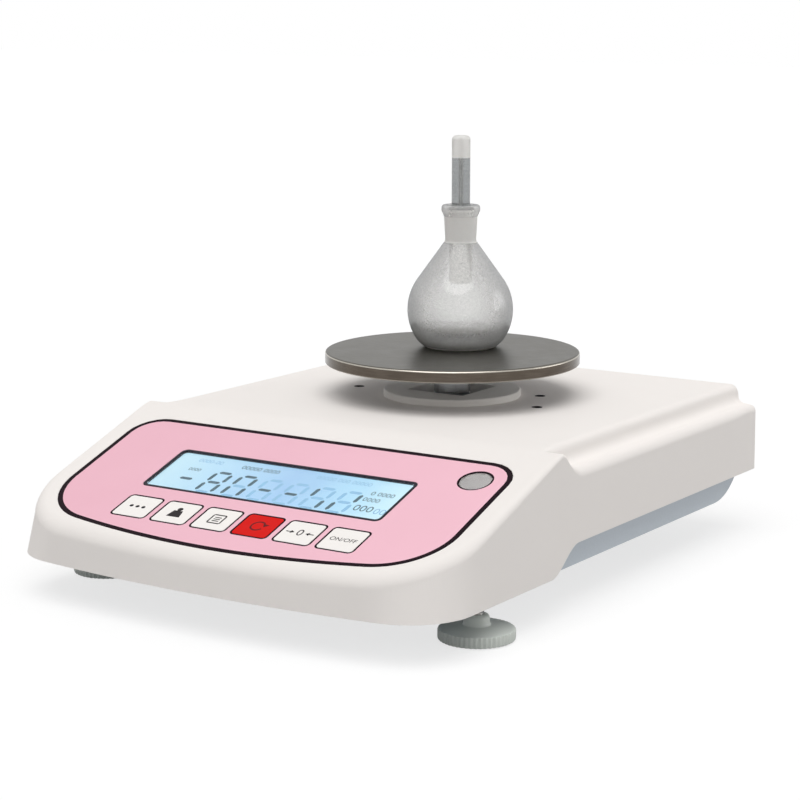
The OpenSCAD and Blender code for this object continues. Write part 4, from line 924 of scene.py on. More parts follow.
@dataclass
class Housing:
    """The white moulded housing: a bowed, sloping console that bends softly into a level
    deck, with lower shoulders beside the deck and a skirt that climbs in an S."""

    bend_r: float = 34.0
    edge_front: float = 5.6
    edge_bend: float = 1.4
    edge_shoulder: float = 3.0
    edge_rear: float = 2.2
    deck_edge: float = 3.6
    fillet: float = 4.3
    ledge: float = 0.85
    lean: float = 0.12
    hole_r: float = 2.6
    # Depth of the black cups that paint shade into the stand holes.
    painted_shade_depth: float = 2.4
    inlet_x: float = -36.0
    inlet_r: float = 4.4
    port_x: float = -64.0
    port: tuple[float, float, float] = (32.8, 14.2, 1.5)
    socket_z: float = 46.0
    deck_cut: tuple[float, float] = (60.0, 80.0)
    console_cut: tuple[float, float] = (-8.0, 2.0)
    well_depth: float = 1.1
    gap: float = 0.3
    chord_slack: float = 0.03
    rings: tuple[float, ...] = (0.0, 0.1, 0.38, 0.85, 1.5, 2.3, 3.2, 4.1, 5.0, 5.8)

    def top(self, y: float) -> float:
        """Height of console and deck along the middle, with the soft bend between them."""
        rise = math.radians(SIZE.slope)
        reach = self.bend_r * math.tan(rise / 2)
        middle = SIZE.bend_y + reach
        if y >= middle:
            return SIZE.deck_h
        if y <= SIZE.bend_y - reach * math.cos(rise):
            return SIZE.deck_h - (SIZE.bend_y - y) * math.tan(rise)
        return SIZE.deck_h - self.bend_r + math.sqrt(self.bend_r ** 2 - (y - middle) ** 2)

    def wing(self, y: float) -> float:
        """Share of the shoulder's drop that is reached at y: steep at first, its brow soft."""
        shares = []
        for step in range(-2, 3):
            t = min(1.0, max(0.0, (y + 0.7 * step - SIZE.wing_y) / SIZE.wing_run))
            shares.append(1 - (1 - t) ** 2.1)
        return sum(shares) / len(shares)

    def side(self, x: float) -> float:
        """Share of the drop that is reached across the deck's side wall at x."""
        x, drop = abs(x), SIZE.shoulder_drop
        start, foot = SIZE.deck_half - self.deck_edge, SIZE.deck_half + self.lean
        if x <= start:
            return 0.0
        if x <= SIZE.deck_half:
            return (self.deck_edge - math.sqrt(self.deck_edge ** 2 - (x - start) ** 2)) / drop
        low = self.ledge * drop - self.fillet
        if x <= foot:
            t = (x - SIZE.deck_half) / self.lean
            return (self.deck_edge + (low - self.deck_edge) * t) / drop
        flat = foot + self.fillet
        if x >= flat:
            t = min(1.0, (x - flat) / (SIZE.half_w - flat))
            return self.ledge + (1 - self.ledge) * t * t
        rest = self.fillet - (x - foot)
        return (low + math.sqrt(max(0.0, self.fillet ** 2 - rest ** 2))) / drop

    def crown(self, x: float, y: float) -> float:
        """Height of the upper surface before its outer edge is rounded."""
        return self.top(y) - SIZE.shoulder_drop * self.wing(y) * self.side(x)

    def edge(self, x: float, y: float) -> float:
        """Rounding of the outer edge near a point."""
        if y > SIZE.bend_y:
            t = min(1.0, (y - SIZE.bend_y) / SIZE.wing_run)
            beside = self.edge_bend + (self.edge_shoulder - self.edge_bend) * t
            return self.edge_rear if y > SIZE.rear - 12 else beside
        start = SIZE.plan.corner_y - 20
        t = min(1.0, max(0.0, (y - start) / (SIZE.bend_y - start)))
        return self.edge_front + (self.edge_bend - self.edge_front) * t

    def skirt(self, y: float) -> float:
        """Height of the skirt's lower edge."""
        t = min(1.0, max(0.0, (y - SIZE.skirt_y) / SIZE.skirt_run))
        return SIZE.skirt_h + SIZE.skirt_rise * (1 - math.cos(math.pi * t)) / 2

    def lines(self, inward: float) -> tuple[list[float], list[float]]:
        """Gives the x and y places at which the top is divided.

        Args:
            inward: How far the deck's side wall is drawn in.

        Returns:
            The x places, both signs, and the y places.
        """
        start = SIZE.deck_half - self.deck_edge
        foot = SIZE.deck_half + self.lean
        curve = [start + self.deck_edge * math.sin(math.radians(a)) for a in range(0, 91, 15)]
        hollow = [foot + self.fillet * (1 - math.cos(math.radians(a))) for a in range(0, 91, 15)]
        across = [x - inward for x in curve + hollow] + [20.0, 45.0, 70.0, 88.0]
        along = [SIZE.bend_y - 12 + i for i in range(34)]
        along += [-140.0, -125.0, -110.0, -95.0, -80.0, -68.0]
        along += [-10.0, 5.0, 25.0, 45.0, 65.0, 85.0, 105.0, 125.0, 138.0]
        return sorted([0.0] + across + [-x for x in across]), sorted(along)

    def form(self, plan: Shield, foot: Shield, rings: Sequence[float], inward: float,
             top: Callable[[float, float], float],
             bottom: Callable[[float], float]) -> Mesh:
        """Builds a closed solid under a crowned top.

        Args:
            plan: The outline at the top.
            foot: The outline at the foot of the wall.
            rings: Insets of the loops that follow the outline.
            inward: How far the deck's side wall is drawn in.
            top: Height of the top over each point.
            bottom: Height of the underside along y.

        Returns:
            The solid.
        """
        bm = bmesh.new()
        loops = [ring_of(bm, plan.inset(d).points()) for d in rings]
        for outer, inner in zip(loops, loops[1:]):
            bmesh.ops.bridge_loops(bm, edges=outer + inner)
        bmesh.ops.contextual_create(bm, geom=loops[-1])
        for normal, places in zip(((1, 0, 0), (0, 1, 0)), self.lines(inward)):
            for place in places:
                parted(bm, normal, place, 1e-4)
        lower = bm.verts[:]
        made = bmesh.ops.extrude_face_region(bm, geom=bm.faces[:], use_keep_orig=True)
        for vert in verts_in(made["geom"]):
            vert.co.z = top(vert.co.x, vert.co.y)
        for vert in lower:
            if plan.depth(vert.co.x, vert.co.y) < self.chord_slack:
                for _ in range(3):
                    x, y = vert.co.x, vert.co.y
                    vert.co += foot.outward(x, y) * foot.depth(x, y)
            vert.co.z = bottom(vert.co.y)
        bmesh.ops.recalc_face_normals(bm, faces=bm.faces[:])
        return bm

    def outside(self) -> Mesh:
        """Builds the outer form, its edge rounded all along the outline."""
        plan = SIZE.head

        def top(x: float, y: float) -> float:
            """Gives the crown less the edge's rounding."""
            edge, depth = self.edge(x, y), max(0.0, plan.depth(x, y))
            depth = next((r for r in self.rings if abs(depth - r) < self.chord_slack), depth)
            if depth >= edge:
                return self.crown(x, y)
            return self.crown(x, y) - edge + math.sqrt(edge ** 2 - (edge - depth) ** 2)

        return self.form(plan, SIZE.foot, self.rings, 0.0, top, self.skirt)

    def cavity(self) -> Mesh:
        """Builds the hollow, open at the foot."""
        def top(x: float, y: float) -> float:
            """Gives the ceiling's height."""
            cover = SIZE.console_wall / math.cos(math.radians(SIZE.slope))
            return self.crown(abs(x) + SIZE.wall, y) - (cover if y < SIZE.bend_y else SIZE.wall)

        return self.form(SIZE.plan.inset(SIZE.wall + 0.8), SIZE.plan.inset(SIZE.wall), (0.0,),
                         SIZE.wall, top, lambda y: SIZE.skirt_h - 4)

    @property
    def stand(self) -> list[Point]:
        """Places of the four holes that take a density stand."""
        return [(side * x, SIZE.pan_y + y)
                for side in (-1, 1) for x, y in ((49.4, -5.5), (36.3, 20.2))]

    def painted_shade_cups(self) -> None:
        """Builds black cups in the stand holes, closed at the foot, as painted shade where the
        hollow behind the holes lies in shadow.
        """
        r, low, brim = self.hole_r - 0.02, SIZE.deck_h - self.painted_shade_depth, SIZE.deck_h - 0.05
        cup = [(0, low), (r, low), (r, brim), (r - 0.1, brim), (r - 0.15, low + 0.3),
               (0, low + 0.3)]
        cups = [moved(revolved(cup, 32), x, y) for x, y in self.stand]
        # Painted shade: black cups darken the holes.
        deliver(joined(cups), "stand_hole_painted_shade", "housing", "black_trim", [BLACK_PLASTIC])

    def openings(self) -> list[Mesh]:
        """Builds the cutters, in groups that don't overlap within themselves."""
        console, keys, gap = Console(), Keys(), self.gap
        low, high = self.console_cut
        recess = set_on_console(prism(SIZE.film_line(-gap / 2), -console.film_t, high))
        collar = moved(prism(circle(SIZE.collar_spigot_r + gap, 96), *self.deck_cut),
                       0, SIZE.pan_y)
        stand = [moved(prism(circle(self.hole_r, 32), *self.deck_cut), x, y)
                 for x, y in self.stand]
        out = Matrix.Rotation(math.radians(-90), 4, "X")
        inlet, port = [
            placed(prism(outline, -6, 6), Matrix.Translation((x, SIZE.rear, self.socket_z)) @ out)
            for outline, x in ((circle(self.inlet_r, 48), self.inlet_x),
                               (rounded(*self.port), self.port_x))]
        display = set_on_console(prism(console.lcd_hole, low, high), console.lcd_x, console.lcd_s)
        level = set_on_console(prism(circle(console.vial_r), low, high),
                               console.vial_x, console.vial_s)
        well = rounded(keys.width + 2 * gap, keys.height + 2 * gap, keys.corner + gap)
        wells, stems = [
            [set_on_console(prism(outline, depth, high), keys.place(i), keys.row_s)
             for i in range(keys.count)]
            for outline, depth in ((well, -self.well_depth), (circle(keys.stem_r + gap, 24), low))]
        return [joined([recess, collar, inlet, port] + stand), joined([display, level] + wells),
                joined(stems)]

    def build(self) -> None:
        """Builds the housing and hands it over."""
        shell = carved(self.outside(), self.cavity())
        for cutter in self.openings():
            shell = carved(shell, cutter)
        deliver(shell, "housing_shell", "housing", "white_plastic", [WHITE_ABS],
                ["upper_housing"], crease=38)
        self.painted_shade_cups()


@dataclass
class Console:
    """The printed overlay, the display and the level behind its round window."""

    film_t: float = 0.8
    border: float = 2.3
    lcd_w: float = 124.0
    lcd_h: float = 32.4
    lcd_x: float = 0.7
    lcd_s: float = 52.6
    lcd_corner: float = 3.0
    rim: float = 1.3
    frame_low: float = -3.2
    frame_high: float = 0.12
    face_gap: float = 1.4
    plate_w: float = 130.0
    plate_low: float = -5.5
    plate_high: float = -3.4
    vial_x: float = 85.2
    vial_s: float = 29.0
    vial_r: float = 7.1
    outline_w: float = 0.8
    vial_line: float = 0.7
    display_depth: float = 1.0
    digit_h: float = 16.2
    digit_w: float = 8.1
    digit_pitch: float = 13.6
    digit_foot: float = -13.1
    first_digit: float = -35.2
    segment_w: float = 1.85
    minus: tuple[float, float] = (-49.0, -42.2)
    segment_lift: float = 0.025
    lean: float = 0.08
    gap: float = 0.3

    @property
    def lcd_hole(self) -> Profile:
        """The opening that the display's frame stands in, about its centre."""
        return rounded(self.lcd_w + self.gap, self.lcd_h + self.gap, self.lcd_corner)

    def overlay(self) -> None:
        """Builds the pink film with its dark border and the lines round its openings."""
        keys, gap = Keys(), self.gap
        holes = [(shifted(self.lcd_hole, self.lcd_x, -self.lcd_s), None)]
        holes += [[shifted(rounded(keys.width + gap + 2 * grow, keys.height + gap + 2 * grow,
                                   keys.corner + gap / 2 + grow), keys.place(i), -keys.row_s)
                   for grow in (0.0, self.outline_w)] for i in range(keys.count)]
        holes.append([shifted(circle(self.vial_r + grow), self.vial_x, -self.vial_s)
                      for grow in (0.0, self.vial_line)])
        bm = bmesh.new()
        outer = ring_of(bm, SIZE.film_line(0.0))
        inner = ring_of(bm, SIZE.film_line(self.border))
        printed = faces_in(bmesh.ops.bridge_loops(bm, edges=outer + inner)["faces"])
        field = inner
        for edge_line, print_line in holes:
            hole = ring_of(bm, edge_line)
            if print_line is None:
                field = field + hole
                continue
            around = ring_of(bm, print_line)
            printed += faces_in(bmesh.ops.bridge_loops(bm, edges=hole + around)["faces"])
            field = field + around
        for face in printed:
            face.material_index = 1
        bmesh.ops.triangle_fill(bm, edges=field, use_beauty=True)
        thicken(bm, self.film_t)
        deliver(set_on_console(bm), "console_overlay", "housing", "pink_overlay",
                [PINK_FILM, MAROON_INK], ["front_panel"])

    def bezel(self) -> None:
        """Builds the display's dark frame, with a soft upper edge."""
        wide, high, rim = self.lcd_w, self.lcd_h, self.rim
        bm = holed_plate([rounded(wide, high, self.lcd_corner),
                          rounded(wide - 2 * rim, high - 2 * rim, self.lcd_corner - 1)],
                         self.frame_low, self.frame_high)
        deliver(set_on_console(softened(bm, 0.18), self.lcd_x, self.lcd_s), "display_frame",
                "housing", "black_trim", [FRAME_INK], ["lcd_bezel"])

    def digit(self, lit: str, x: float) -> tuple[list[Mesh], list[Mesh]]:
        """Builds one seven-segment figure.

        Args:
            lit: Letters a to g of the segments that are dark.
            x: Left edge of the figure.

        Returns:
            The dark segments and the pale ones.
        """
        w, h, gap = self.digit_w, self.digit_h / 2, self.segment_w * 0.42
        ends = {
            "a": (0, 2 * h, w, 2 * h), "b": (w, h, w, 2 * h), "c": (w, 0, w, h),
            "d": (0, 0, w, 0), "e": (0, 0, 0, h), "f": (0, h, 0, 2 * h), "g": (0, h, w, h),
        }
        dark, pale = [], []
        for name, (x0, y0, x1, y1) in ends.items():
            length = math.hypot(x1 - x0, y1 - y0)
            dx, dy = (x1 - x0) / length * gap, (y1 - y0) / length * gap
            part = bar(x0 + dx, y0 + dy, x1 - dx, y1 - dy, self.segment_w)
            shear = Matrix.Identity(4)
            shear[0][1] = self.lean
            placed(part, Matrix.Translation((x, 0, 0)) @ shear)
            (dark if name in lit else pale).append(part)
        return dark, pale

    def face(self) -> None:
        """Builds the lit face of the display, stepped to fit into its frame."""
        wide, high = self.lcd_w - 2 * self.face_gap, self.lcd_h - 2 * self.face_gap
        step = prism(rounded(wide, high, self.lcd_corner - 1.1),
                     self.plate_high - 0.05, -self.display_depth)
        plate = prism(rounded(self.plate_w, self.lcd_h + 6, 0.5, 2),
                      self.plate_low, self.plate_high)
        bm = joined([softened(plate, 0.2, 1), step])
        deliver(set_on_console(bm, self.lcd_x, self.lcd_s), "display_face", "housing", "display",
                [DISPLAY], ["lcd_glass"])

    def segments(self) -> None:
        """Builds what the display shows: figures, a sign and small rows of plain numbers."""
        middle = self.digit_foot + self.digit_h / 2
        left, right = self.minus
        dark, pale = [bar(left, middle, right, middle, self.segment_w)], []
        for i, lit in enumerate(("abcefg", "abcef", "g", "g", "cf", "be")):
            shown, faint = self.digit(lit, self.first_digit + i * self.digit_pitch)
            dark += [moved(b, 0, self.digit_foot) for b in shown]
            pale += [moved(b, 0, self.digit_foot) for b in faint]
        rows = (("00000 0000", 4.2, -15.6, 9.6, True), ("0000-00", 4.0, -43.0, 10.3, False),
                ("00000 000 00000", 4.0, 27.5, 10.4, False), ("0000", 3.3, -46.5, 2.6, True),
                ("0 0000", 4.2, 50.8, 4.4, True), ("0000", 4.2, 48.2, -0.6, True),
                ("000", 6.4, 48.6, -7.6, True), ("00", 6.0, 57.0, -8.2, False))
        for words, height, x, up, strong in rows:
            (dark if strong else pale).append(moved(lettering(words, height), x, up))
        bm = joined([painted(joined(dark), 0), painted(joined(pale), 1)])
        clear = self.rim + 0.2
        wide, high = self.lcd_w / 2 - clear, self.lcd_h / 2 - clear
        for normal, reach in (((1, 0, 0), wide), ((-1, 0, 0), wide), ((0, 1, 0), high),
                              ((0, -1, 0), high)):
            parted(bm, normal, reach, 1e-5, clear=True)
        open_edges = [e for e in bm.edges if e.is_boundary]
        bmesh.ops.holes_fill(bm, edges=open_edges, sides=0)
        deliver(set_on_console(bm, self.lcd_x, self.lcd_s,
                               self.segment_lift - self.display_depth),
                "display_segments", "housing", "display", [LIT_SEGMENT, PALE_SEGMENT])

    def level(self) -> None:
        """Builds the round level: a domed clear disc over a silver cup."""
        r = self.vial_r - self.gap
        disc = revolved([(0, -0.7), (r, -0.7), (r, -0.18), (r - 0.15, -0.05)]
                        + [(r * (1 - t), -0.05 + 0.05 * t) for t in (0.3, 0.6, 1.0)], 96)
        deliver(set_on_console(disc, self.vial_x, self.vial_s), "level_window", "housing",
                "clear_plastic", [WINDOW], ["level_vial"])
        cup = revolved([(0, -10.0), (r, -10.0), (r, -4.4), (r + 2, -4.4), (r + 2, -3.2), (r, -3.2),
                        (r, -0.9), (r - 0.6, -0.9), (r - 1.2, -1.3), (0, -1.6)], 96)
        deliver(set_on_console(cup, self.vial_x, self.vial_s), "level_bowl", "housing",
                "silver_grey", [CUP_PLASTIC], ["level_cup"])

    def build(self) -> None:
        """Builds the console's pieces in order."""
        self.overlay()
        self.bezel()
        self.face()
        self.segments()
        self.level()


class Label(Enum):
    """What each key shows: generic signs, in the order of the row."""

    FUNCTION = "dots"
    CALIBRATE = "weight"
    PRINT = "sheet"
    MODE = "cycle"
    ZERO = "zero"
    POWER = "ON/OFF"


@dataclass
class Keys:
    """Six flush keys in a row, each a plate on a stem with a sign on its face."""

    width: float = 17.1
    height: float = 15.3
    corner: float = 1.5
    pitch: float = 21.25
    row_x: float = 2.8
    row_s: float = 85.1
    plate_t: float = 0.5
    border: float = 0.55
    stem_r: float = 2.5
    switch_h: float = 3.5
    switch_gap: float = 0.6
    count: int = 6

    def place(self, i: int) -> float:
        """Gives the x of a key."""
        return self.row_x + (i - (self.count - 1) / 2) * self.pitch

    def sign(self, label: Label) -> list[Mesh]:
        """Builds the marks of one sign, about its key's centre."""
        if label is Label.FUNCTION:
            return [mark(shifted(circle(0.95, 20), x, 0)) for x in (-3.2, 0, 3.2)]
        if label is Label.CALIBRATE:
            body = [(-3.4, -3.2), (3.4, -3.2), (2.3, 1.6), (-2.3, 1.6)]
            return [mark(body), moved(mark(circle(1.3, 24)), 0, 2.7)]
        if label is Label.PRINT:
            frame_lines = [bar(-3.2, -3.0, -3.2, 3.2, 0.7), bar(3.2, -3.0, 3.2, 3.2, 0.7),
                           bar(-3.2, 3.2, 3.2, 3.2, 0.7), bar(-3.2, -3.0, 3.2, -3.0, 0.7)]
            return frame_lines + [bar(-1.8, y, 1.8, y, 0.6) for y in (1.3, 0, -1.3)]
        if label is Label.MODE:
            band = arc(0, 0, 3.5, 40, 330, 28) + arc(0, 0, 2.7, 330, 40, 28)
            head = [(1.4, 2.2), (4.6, 2.4), (2.9, 0.1)]
            return [mark(band), mark(turned(head, -8))]
        if label is Label.ZERO:
            left = [bar(-7.0, 0, -3.9, 0, 0.55), mark([(-4.6, -1.1), (-2.7, 0), (-4.6, 1.1)])]
            right = [bar(3.9, 0, 7.0, 0, 0.55), mark([(4.6, 1.1), (2.7, 0), (4.6, -1.1)])]
            return left + right + [lettering("0", 6.4)]
        return [lettering(label.value, 3.6)]

    def build(self) -> None:
        """Builds the keys and their signs."""
        bodies = ("function_key", "calibrate_key", "print_key", "mode_key", "zero_key", "power_key")
        stem_end = SIZE.board_depth - self.switch_h - self.switch_gap
        for i, (body, label) in enumerate(zip(bodies, Label)):
            red = label is Label.MODE
            bm = bmesh.new()
            face = bmesh.ops.contextual_create(
                bm, geom=ring_of(bm, rounded(self.width, self.height, self.corner)))["faces"]
            rim = bmesh.ops.inset_region(bm, faces=face, thickness=self.border,
                                         use_even_offset=True)
            for part in rim["faces"]:
                part.material_index = 1
            thicken(bm, self.plate_t)
            stem = prism(circle(self.stem_r, 32), -stem_end, -self.plate_t / 2)
            whole = joined([bm, stem])
            deliver(set_on_console(whole, self.place(i), self.row_s), body + "_cap", body,
                    "key_red" if red else "key_white",
                    [KEY_RED if red else KEY_FACE, MAROON_INK], [body])
            signs = joined(self.sign(label))
            deliver(set_on_console(signs, self.place(i), self.row_s, MARK_T), body + "_sign", body,
                    "black_trim", [MODE_INK if red else LABEL_INK])


@dataclass
class Weighing:
    """The collar in the deck, the pan with its plate and hub, all on one upright axis."""

    pan_r: float = 60.0
    lip_z: float = 86.3
    sheet: float = 1.0
    edge_r: float = 1.2
    hub_r: float = 8.5
    hub_foot: float = 71.9
    collar_r: float = 32.4
    collar_h: float = 3.35
    collar_round: float = 0.8
    opening: float = 31.0
    plate_t: float = 3.7
    bore_r: float = 5.3
    bore_h: float = 11.3

    def collar(self) -> None:
        """Builds the collar ring with its square opening."""
        r, base, soft = self.collar_r, SIZE.deck_h, self.collar_round
        spigot, top = SIZE.collar_spigot_r, base + self.collar_h
        ring = revolved([(0, base - SIZE.wall), (spigot, base - SIZE.wall), (spigot, base + 0.1),
                         (r, base + 0.1)] + arc(r - soft, top - soft, soft, 0, 90, 6)
                        + [(0, top)], 160)
        hole = prism(rounded(self.opening, self.opening, 0.6, 3), base - 6, base + 9)
        bm = moved(carved(ring, hole), 0, SIZE.pan_y)
        deliver(bm, "collar", "housing", "white_plastic", [COLLAR_ABS], ["collar_ring"])

    def pan(self) -> None:
        """Builds the pan: a flat sheet with a turned-down, rolled lip."""
        r, top = self.pan_r, SIZE.pan_top
        inner = r - self.sheet
        profile = ([(inner, top - self.sheet - 0.6), (inner, self.lip_z + 0.25),
                    (inner + 0.3, self.lip_z),
                    (r - 0.35, self.lip_z), (r, self.lip_z + 0.4), (r, top - self.edge_r)]
                   + arc(r - self.edge_r, top - self.edge_r, self.edge_r, 0, 90, 6)[1:]
                   + [(r * 0.66, top), (r * 0.33, top), (0, top), (0, top - self.sheet),
                      (inner - 0.6, top - self.sheet)])
        bm = moved(revolved(profile, 256), 0, SIZE.pan_y)
        # Upright rim faces take the darker, patchier steel as painted reflection; slanted edge
        # faces take the lighter steel as painted highlight lines.
        for face in bm.faces:
            level = abs(face.normal.z)
            face.material_index = 0 if level > 0.7 else 1 if level < 0.3 else 2
        deliver(bm, "pan_sheet_piece", "pan", "brushed_stainless", [PAN_SHEET, PAN_RIM_PAINTED_REFLECTION, PAN_EDGE_PAINTED_HIGHLIGHT],
                ["weighing_pan"])

    def support(self) -> None:
        """Builds the plate under the sheet and the bored hub."""
        plate_top = SIZE.pan_top - self.sheet
        plate_low = plate_top - self.plate_t
        r, hub, foot = self.pan_r - self.sheet - 0.3, self.hub_r, self.hub_foot
        bore, bore_top = self.bore_r, foot + self.bore_h
        profile = [(bore, foot), (hub - 0.5, foot), (hub, foot + 0.5), (hub, plate_low - 1.2),
                   (hub + 1.2, plate_low), (r - 0.6, plate_low), (r, plate_low + 0.6),
                   (r, plate_top), (0, plate_top), (0, bore_top), (bore, bore_top)]
        deliver(moved(revolved(profile, 160), 0, SIZE.pan_y), "pan_plate_and_hub", "pan",
                "aluminium", [TURNED_ALLOY], ["pan_support"])

    def build(self) -> None:
        """Builds collar, pan and support."""
        self.collar()
        self.pan()
        self.support()


@dataclass
class DensityBottle:
    """A pear-shaped blown bottle with a ground neck, and its capillary stopper."""

    bulb_r: float = 25.05
    bulge_h: float = 17.6
    foot_r: float = 14.0
    foot_angle: float = -30.0
    neck_h: float = 50.2
    neck_r: float = 7.0
    neck_top_r: float = 7.9
    rim_h: float = 67.3
    rim_r: float = 9.1
    glass: float = 1.3
    floor_h: float = 2.5
    ring_w: float = 2.0
    rod_r: float = 4.35
    tail_h: float = 30.0
    top_h: float = 99.8
    tip_h: float = 10.0
    tip_round: float = 2.0
    capillary_r: float = 0.75

    @property
    def foot_centre(self) -> Point:
        """Centre of the arc that joins bulb and foot."""
        a = math.radians(self.foot_angle)
        reach = self.bulb_r - self.foot_r
        return reach * math.cos(a), self.bulge_h + reach * math.sin(a)

    def outline(self, t: float, h: float) -> Profile:
        """Gives the glass's outline from height h up to the neck, drawn in by t."""
        cx, cz = self.foot_centre
        start = math.degrees(math.asin((h - cz) / (self.foot_r - t)))
        reach = math.hypot(self.neck_r, self.neck_h - self.bulge_h)
        bearing = math.degrees(math.atan2(self.neck_h - self.bulge_h, self.neck_r))
        cone = bearing - math.degrees(math.acos(self.bulb_r / reach))
        bend = [(self.neck_r + out - t, self.neck_h + up)
                for out, up in ((1.6, -1.6), (0.75, -0.45), (0.3, 0.6))]
        return (arc(cx, cz, self.foot_r - t, start, self.foot_angle, 12)[:-1]
                + arc(0, self.bulge_h, self.bulb_r - t, self.foot_angle, cone, 26) + bend)

    def bottle(self) -> None:
        """Builds the bottle as one thick-walled solid of glass."""
        cx, cz = self.foot_centre
        lift = 0.4
        ring = cx + math.sqrt(self.foot_r ** 2 - (cz - lift) ** 2) - 0.6
        hollow = ring - self.ring_w
        bead = self.rim_r - self.neck_top_r
        mouth = self.neck_top_r - self.glass
        outer = ([(0, 0.8), (hollow * 0.6, 0.74), (hollow, 0.6), (hollow + 0.3, 0.15),
                  (hollow + 0.8, 0), (ring - 0.2, 0)]
                 + self.outline(0, lift)
                 + [(self.neck_top_r, self.rim_h - 5.4), (self.rim_r - 0.3, self.rim_h - 3.4),
                    (self.rim_r, self.rim_h - 2.6)]
                 + arc(self.rim_r - bead, self.rim_h - bead, bead, 0, 90, 6))
        inner = ([(0, self.floor_h)] + self.outline(self.glass, self.floor_h)
                 + [(mouth, self.rim_h - 2), (mouth, self.rim_h - 0.3), (mouth + 0.3, self.rim_h)])
        bm = revolved(outer + inner[::-1], 192)
        for face in bm.faces:
            h = face.calc_center_median().z
            # The neck is really ground; the foot ring below 0.9 mm takes ground glass only as a
            # painted highlight line.
            ground = self.neck_h - 0.4 < h < self.rim_h - 4.6 or h < 0.9
            face.material_index = 1 if ground else 0
        deliver(moved(bm, SIZE.bottle_x, SIZE.bottle_y, SIZE.bottle_z), "bottle_glass_body",
                "bottle", "bottle_glass", [BOTTLE_GLASS, GROUND_GLASS], ["bottle"])

    def stopper(self) -> None:
        """Builds the stopper: a tail, a ground plug and a rod round the capillary."""
        plug_top = self.neck_top_r - self.glass - 0.3
        plug_foot = self.neck_r + 0.3 - self.glass - 0.3
        tail, bore = plug_foot - 0.3, self.capillary_r
        foot, rim, rod, top = self.tail_h, self.rim_h, self.rod_r, self.top_h
        profile = [(bore, foot), (tail - 0.9, foot), (tail - 0.25, foot + 0.25),
                   (tail, foot + 0.9), (tail, self.neck_h - 1.6), (plug_foot, self.neck_h + 0.6),
                   (plug_top, rim - 2), (plug_top - 0.2, rim - 0.3), (plug_top - 0.6, rim),
                   (rod + 0.3, rim), (rod, rim + 0.5), (rod, top - self.tip_h - 0.4),
                   (rod, top - self.tip_h + 0.4)]
        profile += arc(rod - self.tip_round, top - self.tip_round, self.tip_round, 0, 80, 8)
        profile += [(bore + 0.3, top), (bore, top - 0.3)]
        bm = revolved(profile, 128)
        for face in bm.faces:
            h = face.calc_center_median().z
            ground = self.neck_h < h < rim - 1.2 or h > top - self.tip_h
            face.material_index = 1 if ground else 2 if h > rim - 1.2 else 3
        deliver(moved(bm, SIZE.bottle_x, SIZE.bottle_y, SIZE.bottle_z), "stopper_glass_body",
                "stopper", "stopper_glass", [BOTTLE_GLASS, GROUND_GLASS, ROD_GLASS, TAIL_GLASS],
                ["stopper"])

    def build(self) -> None:
        """Builds bottle and stopper."""
        self.bottle()
        self.stopper()


